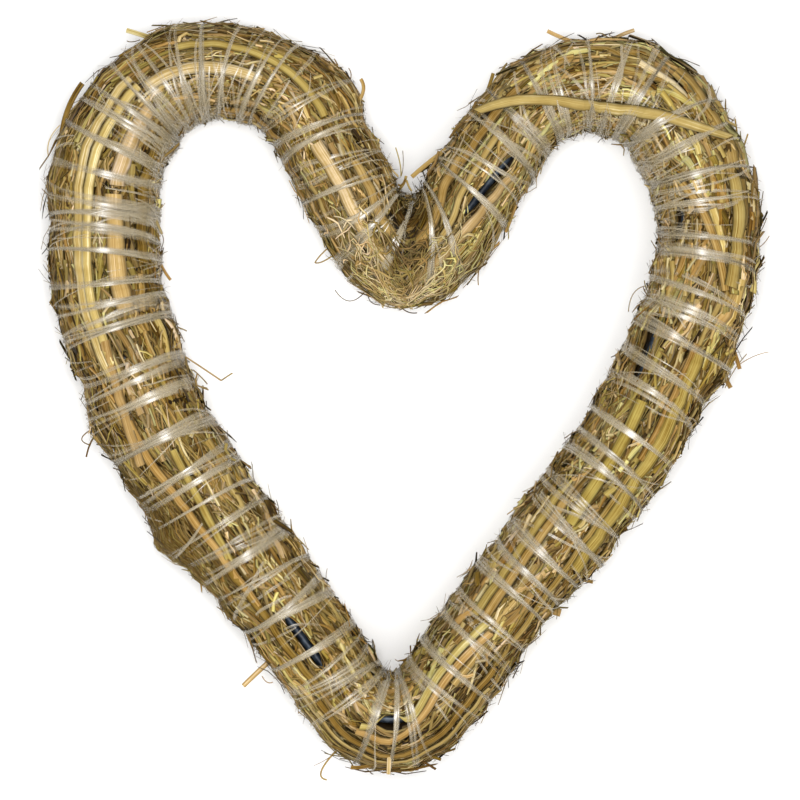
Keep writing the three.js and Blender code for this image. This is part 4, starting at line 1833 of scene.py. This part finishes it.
@dataclass
class Studio:
    """The pale floor, the soft lights and the camera over the heart."""

    floor_size: float = 4.0
    floor_colour: tuple[float, float, float] = (0.98, 0.98, 0.98)
    view_middle: tuple[float, float] = (-1.75 * MM, -1.3 * MM)
    view_height: float = 22 * MM  # where the photograph's scale holds
    view_width: float = 339 * MM
    lens: float = 100.0
    sensor: float = 36.0
    lights: tuple[tuple[str, tuple[float, float, float], float, float], ...] = (
        ("key", (-0.03, 0.05, 0.6), 0.17, 1.9),
        ("fill", (0.4, -0.6, 1.5), 1.4, 12),
    )

    def floor(self) -> None:
        """Lays the floor."""
        mesh = sheet(1, 1, self.floor_size / 2)
        mesh.materials.append(Recipe("pale floor").done(Base_Color=(*self.floor_colour, 1), Roughness=0.9))
        floor = bpy.data.objects.new("floor", mesh)
        bpy.context.scene.collection.objects.link(floor)
        floor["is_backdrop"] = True

    def light(self, name: str, place: Vector, size: float, power: float) -> None:
        """Hangs a soft light that shines at the heart.

        Args:
            name: Its name.
            place: Where it hangs.
            size: The side of its square.
            power: In watts.
        """
        data = bpy.data.lights.new(name, "AREA")
        data.size, data.energy = size, power
        lamp = bpy.data.objects.new(name, data)
        lamp.location = place
        lamp.rotation_euler = (-place).to_track_quat("-Z", "Y").to_euler()
        lamp.visible_camera = False
        bpy.context.scene.collection.objects.link(lamp)

    def camera(self) -> None:
        """Sets the camera straight above, with the photograph's frame."""
        data = bpy.data.cameras.new("camera")
        data.lens, data.sensor_width = self.lens, self.sensor
        camera = bpy.data.objects.new("camera", data)
        height = self.view_height + self.view_width * self.lens / self.sensor
        camera.location = (*self.view_middle, height)
        bpy.context.scene.collection.objects.link(camera)
        bpy.context.scene.camera = camera

    def build(self) -> None:
        """Builds the studio."""
        self.floor()
        for name, place, size, power in self.lights:
            self.light(name, Vector(place), size, power)
        world = bpy.data.worlds.new("studio")
        world.use_nodes = True
        background = world.node_tree.nodes["Background"]
        background.inputs["Color"].default_value = (1, 1, 1, 1)
        background.inputs["Strength"].default_value = 0.8
        scene = bpy.context.scene
        scene.world = world
        scene.view_settings.view_transform = "Standard"
        self.camera()


def write_sizes() -> None:
    """Works out the CAD model's box and the visual model's box, and keeps neither."""
    boxes = {"cad": cad_box, "visual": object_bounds()}
    {name: [list(corner) for corner in box] for name, box in boxes.items()}


def main() -> None:
    """Builds every sub-assembly, dresses it, and sets up the studio."""
    logging.basicConfig(level=logging.INFO, format="%(message)s")
    workshop = Workshop.from_frame()
    straw = StrawFinish("straw").build()
    # the fibres' edges get weaker painted shade
    fibre = StrawFinish("straw fibre", streak=0.2, ribs=0.15, rim=0.3, roughness=0.6).build()

    core = StrawCore(workshop).build(straw)
    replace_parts(core, "straw_bundle")
    StrawStalks(workshop).build(straw)
    BroadStalks(workshop, BROAD_STALKS).build(straw)
    StrawLitter(workshop, "straw_chips", CHIP, 8600, 21).build(straw)
    StrawLitter(workshop, "straw_fibres", FIBRE, 2200, 22).build(fibre)
    StrawLitter(workshop, "straw_fuzz", FUZZ, 1900, 23).build(fibre)
    StrawLitter(workshop, "straw_sprigs", SPRIG, 1000, 27).build(straw)
    LooseEnds(workshop).build(straw)
    StrawLitter(workshop, "straw_chopped_bits", CHIP, 420, 24, Region(0.935, 0.022, 78, 26)).build(straw)
    StrawLitter(workshop, "straw_fibre_mat", MAT_HAIR, 520, 25, Region(0.657, 0.014, 26, 24)).build(fibre)
    StrawLitter(workshop, "straw_notch_chaff", CHAFF, 640, 26, Region(0.031, 0.01, 106, 22)).build(straw)
    film = PlasticWinding(workshop).build(FilmFinish().build())
    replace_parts(film[0], "plastic_winding")
    wire = WireFrame(workshop).build(WireFinish().build())
    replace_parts(wire, "wire_frame")

    Studio().build()
    write_sizes()


if __name__ == "__main__":
    main()
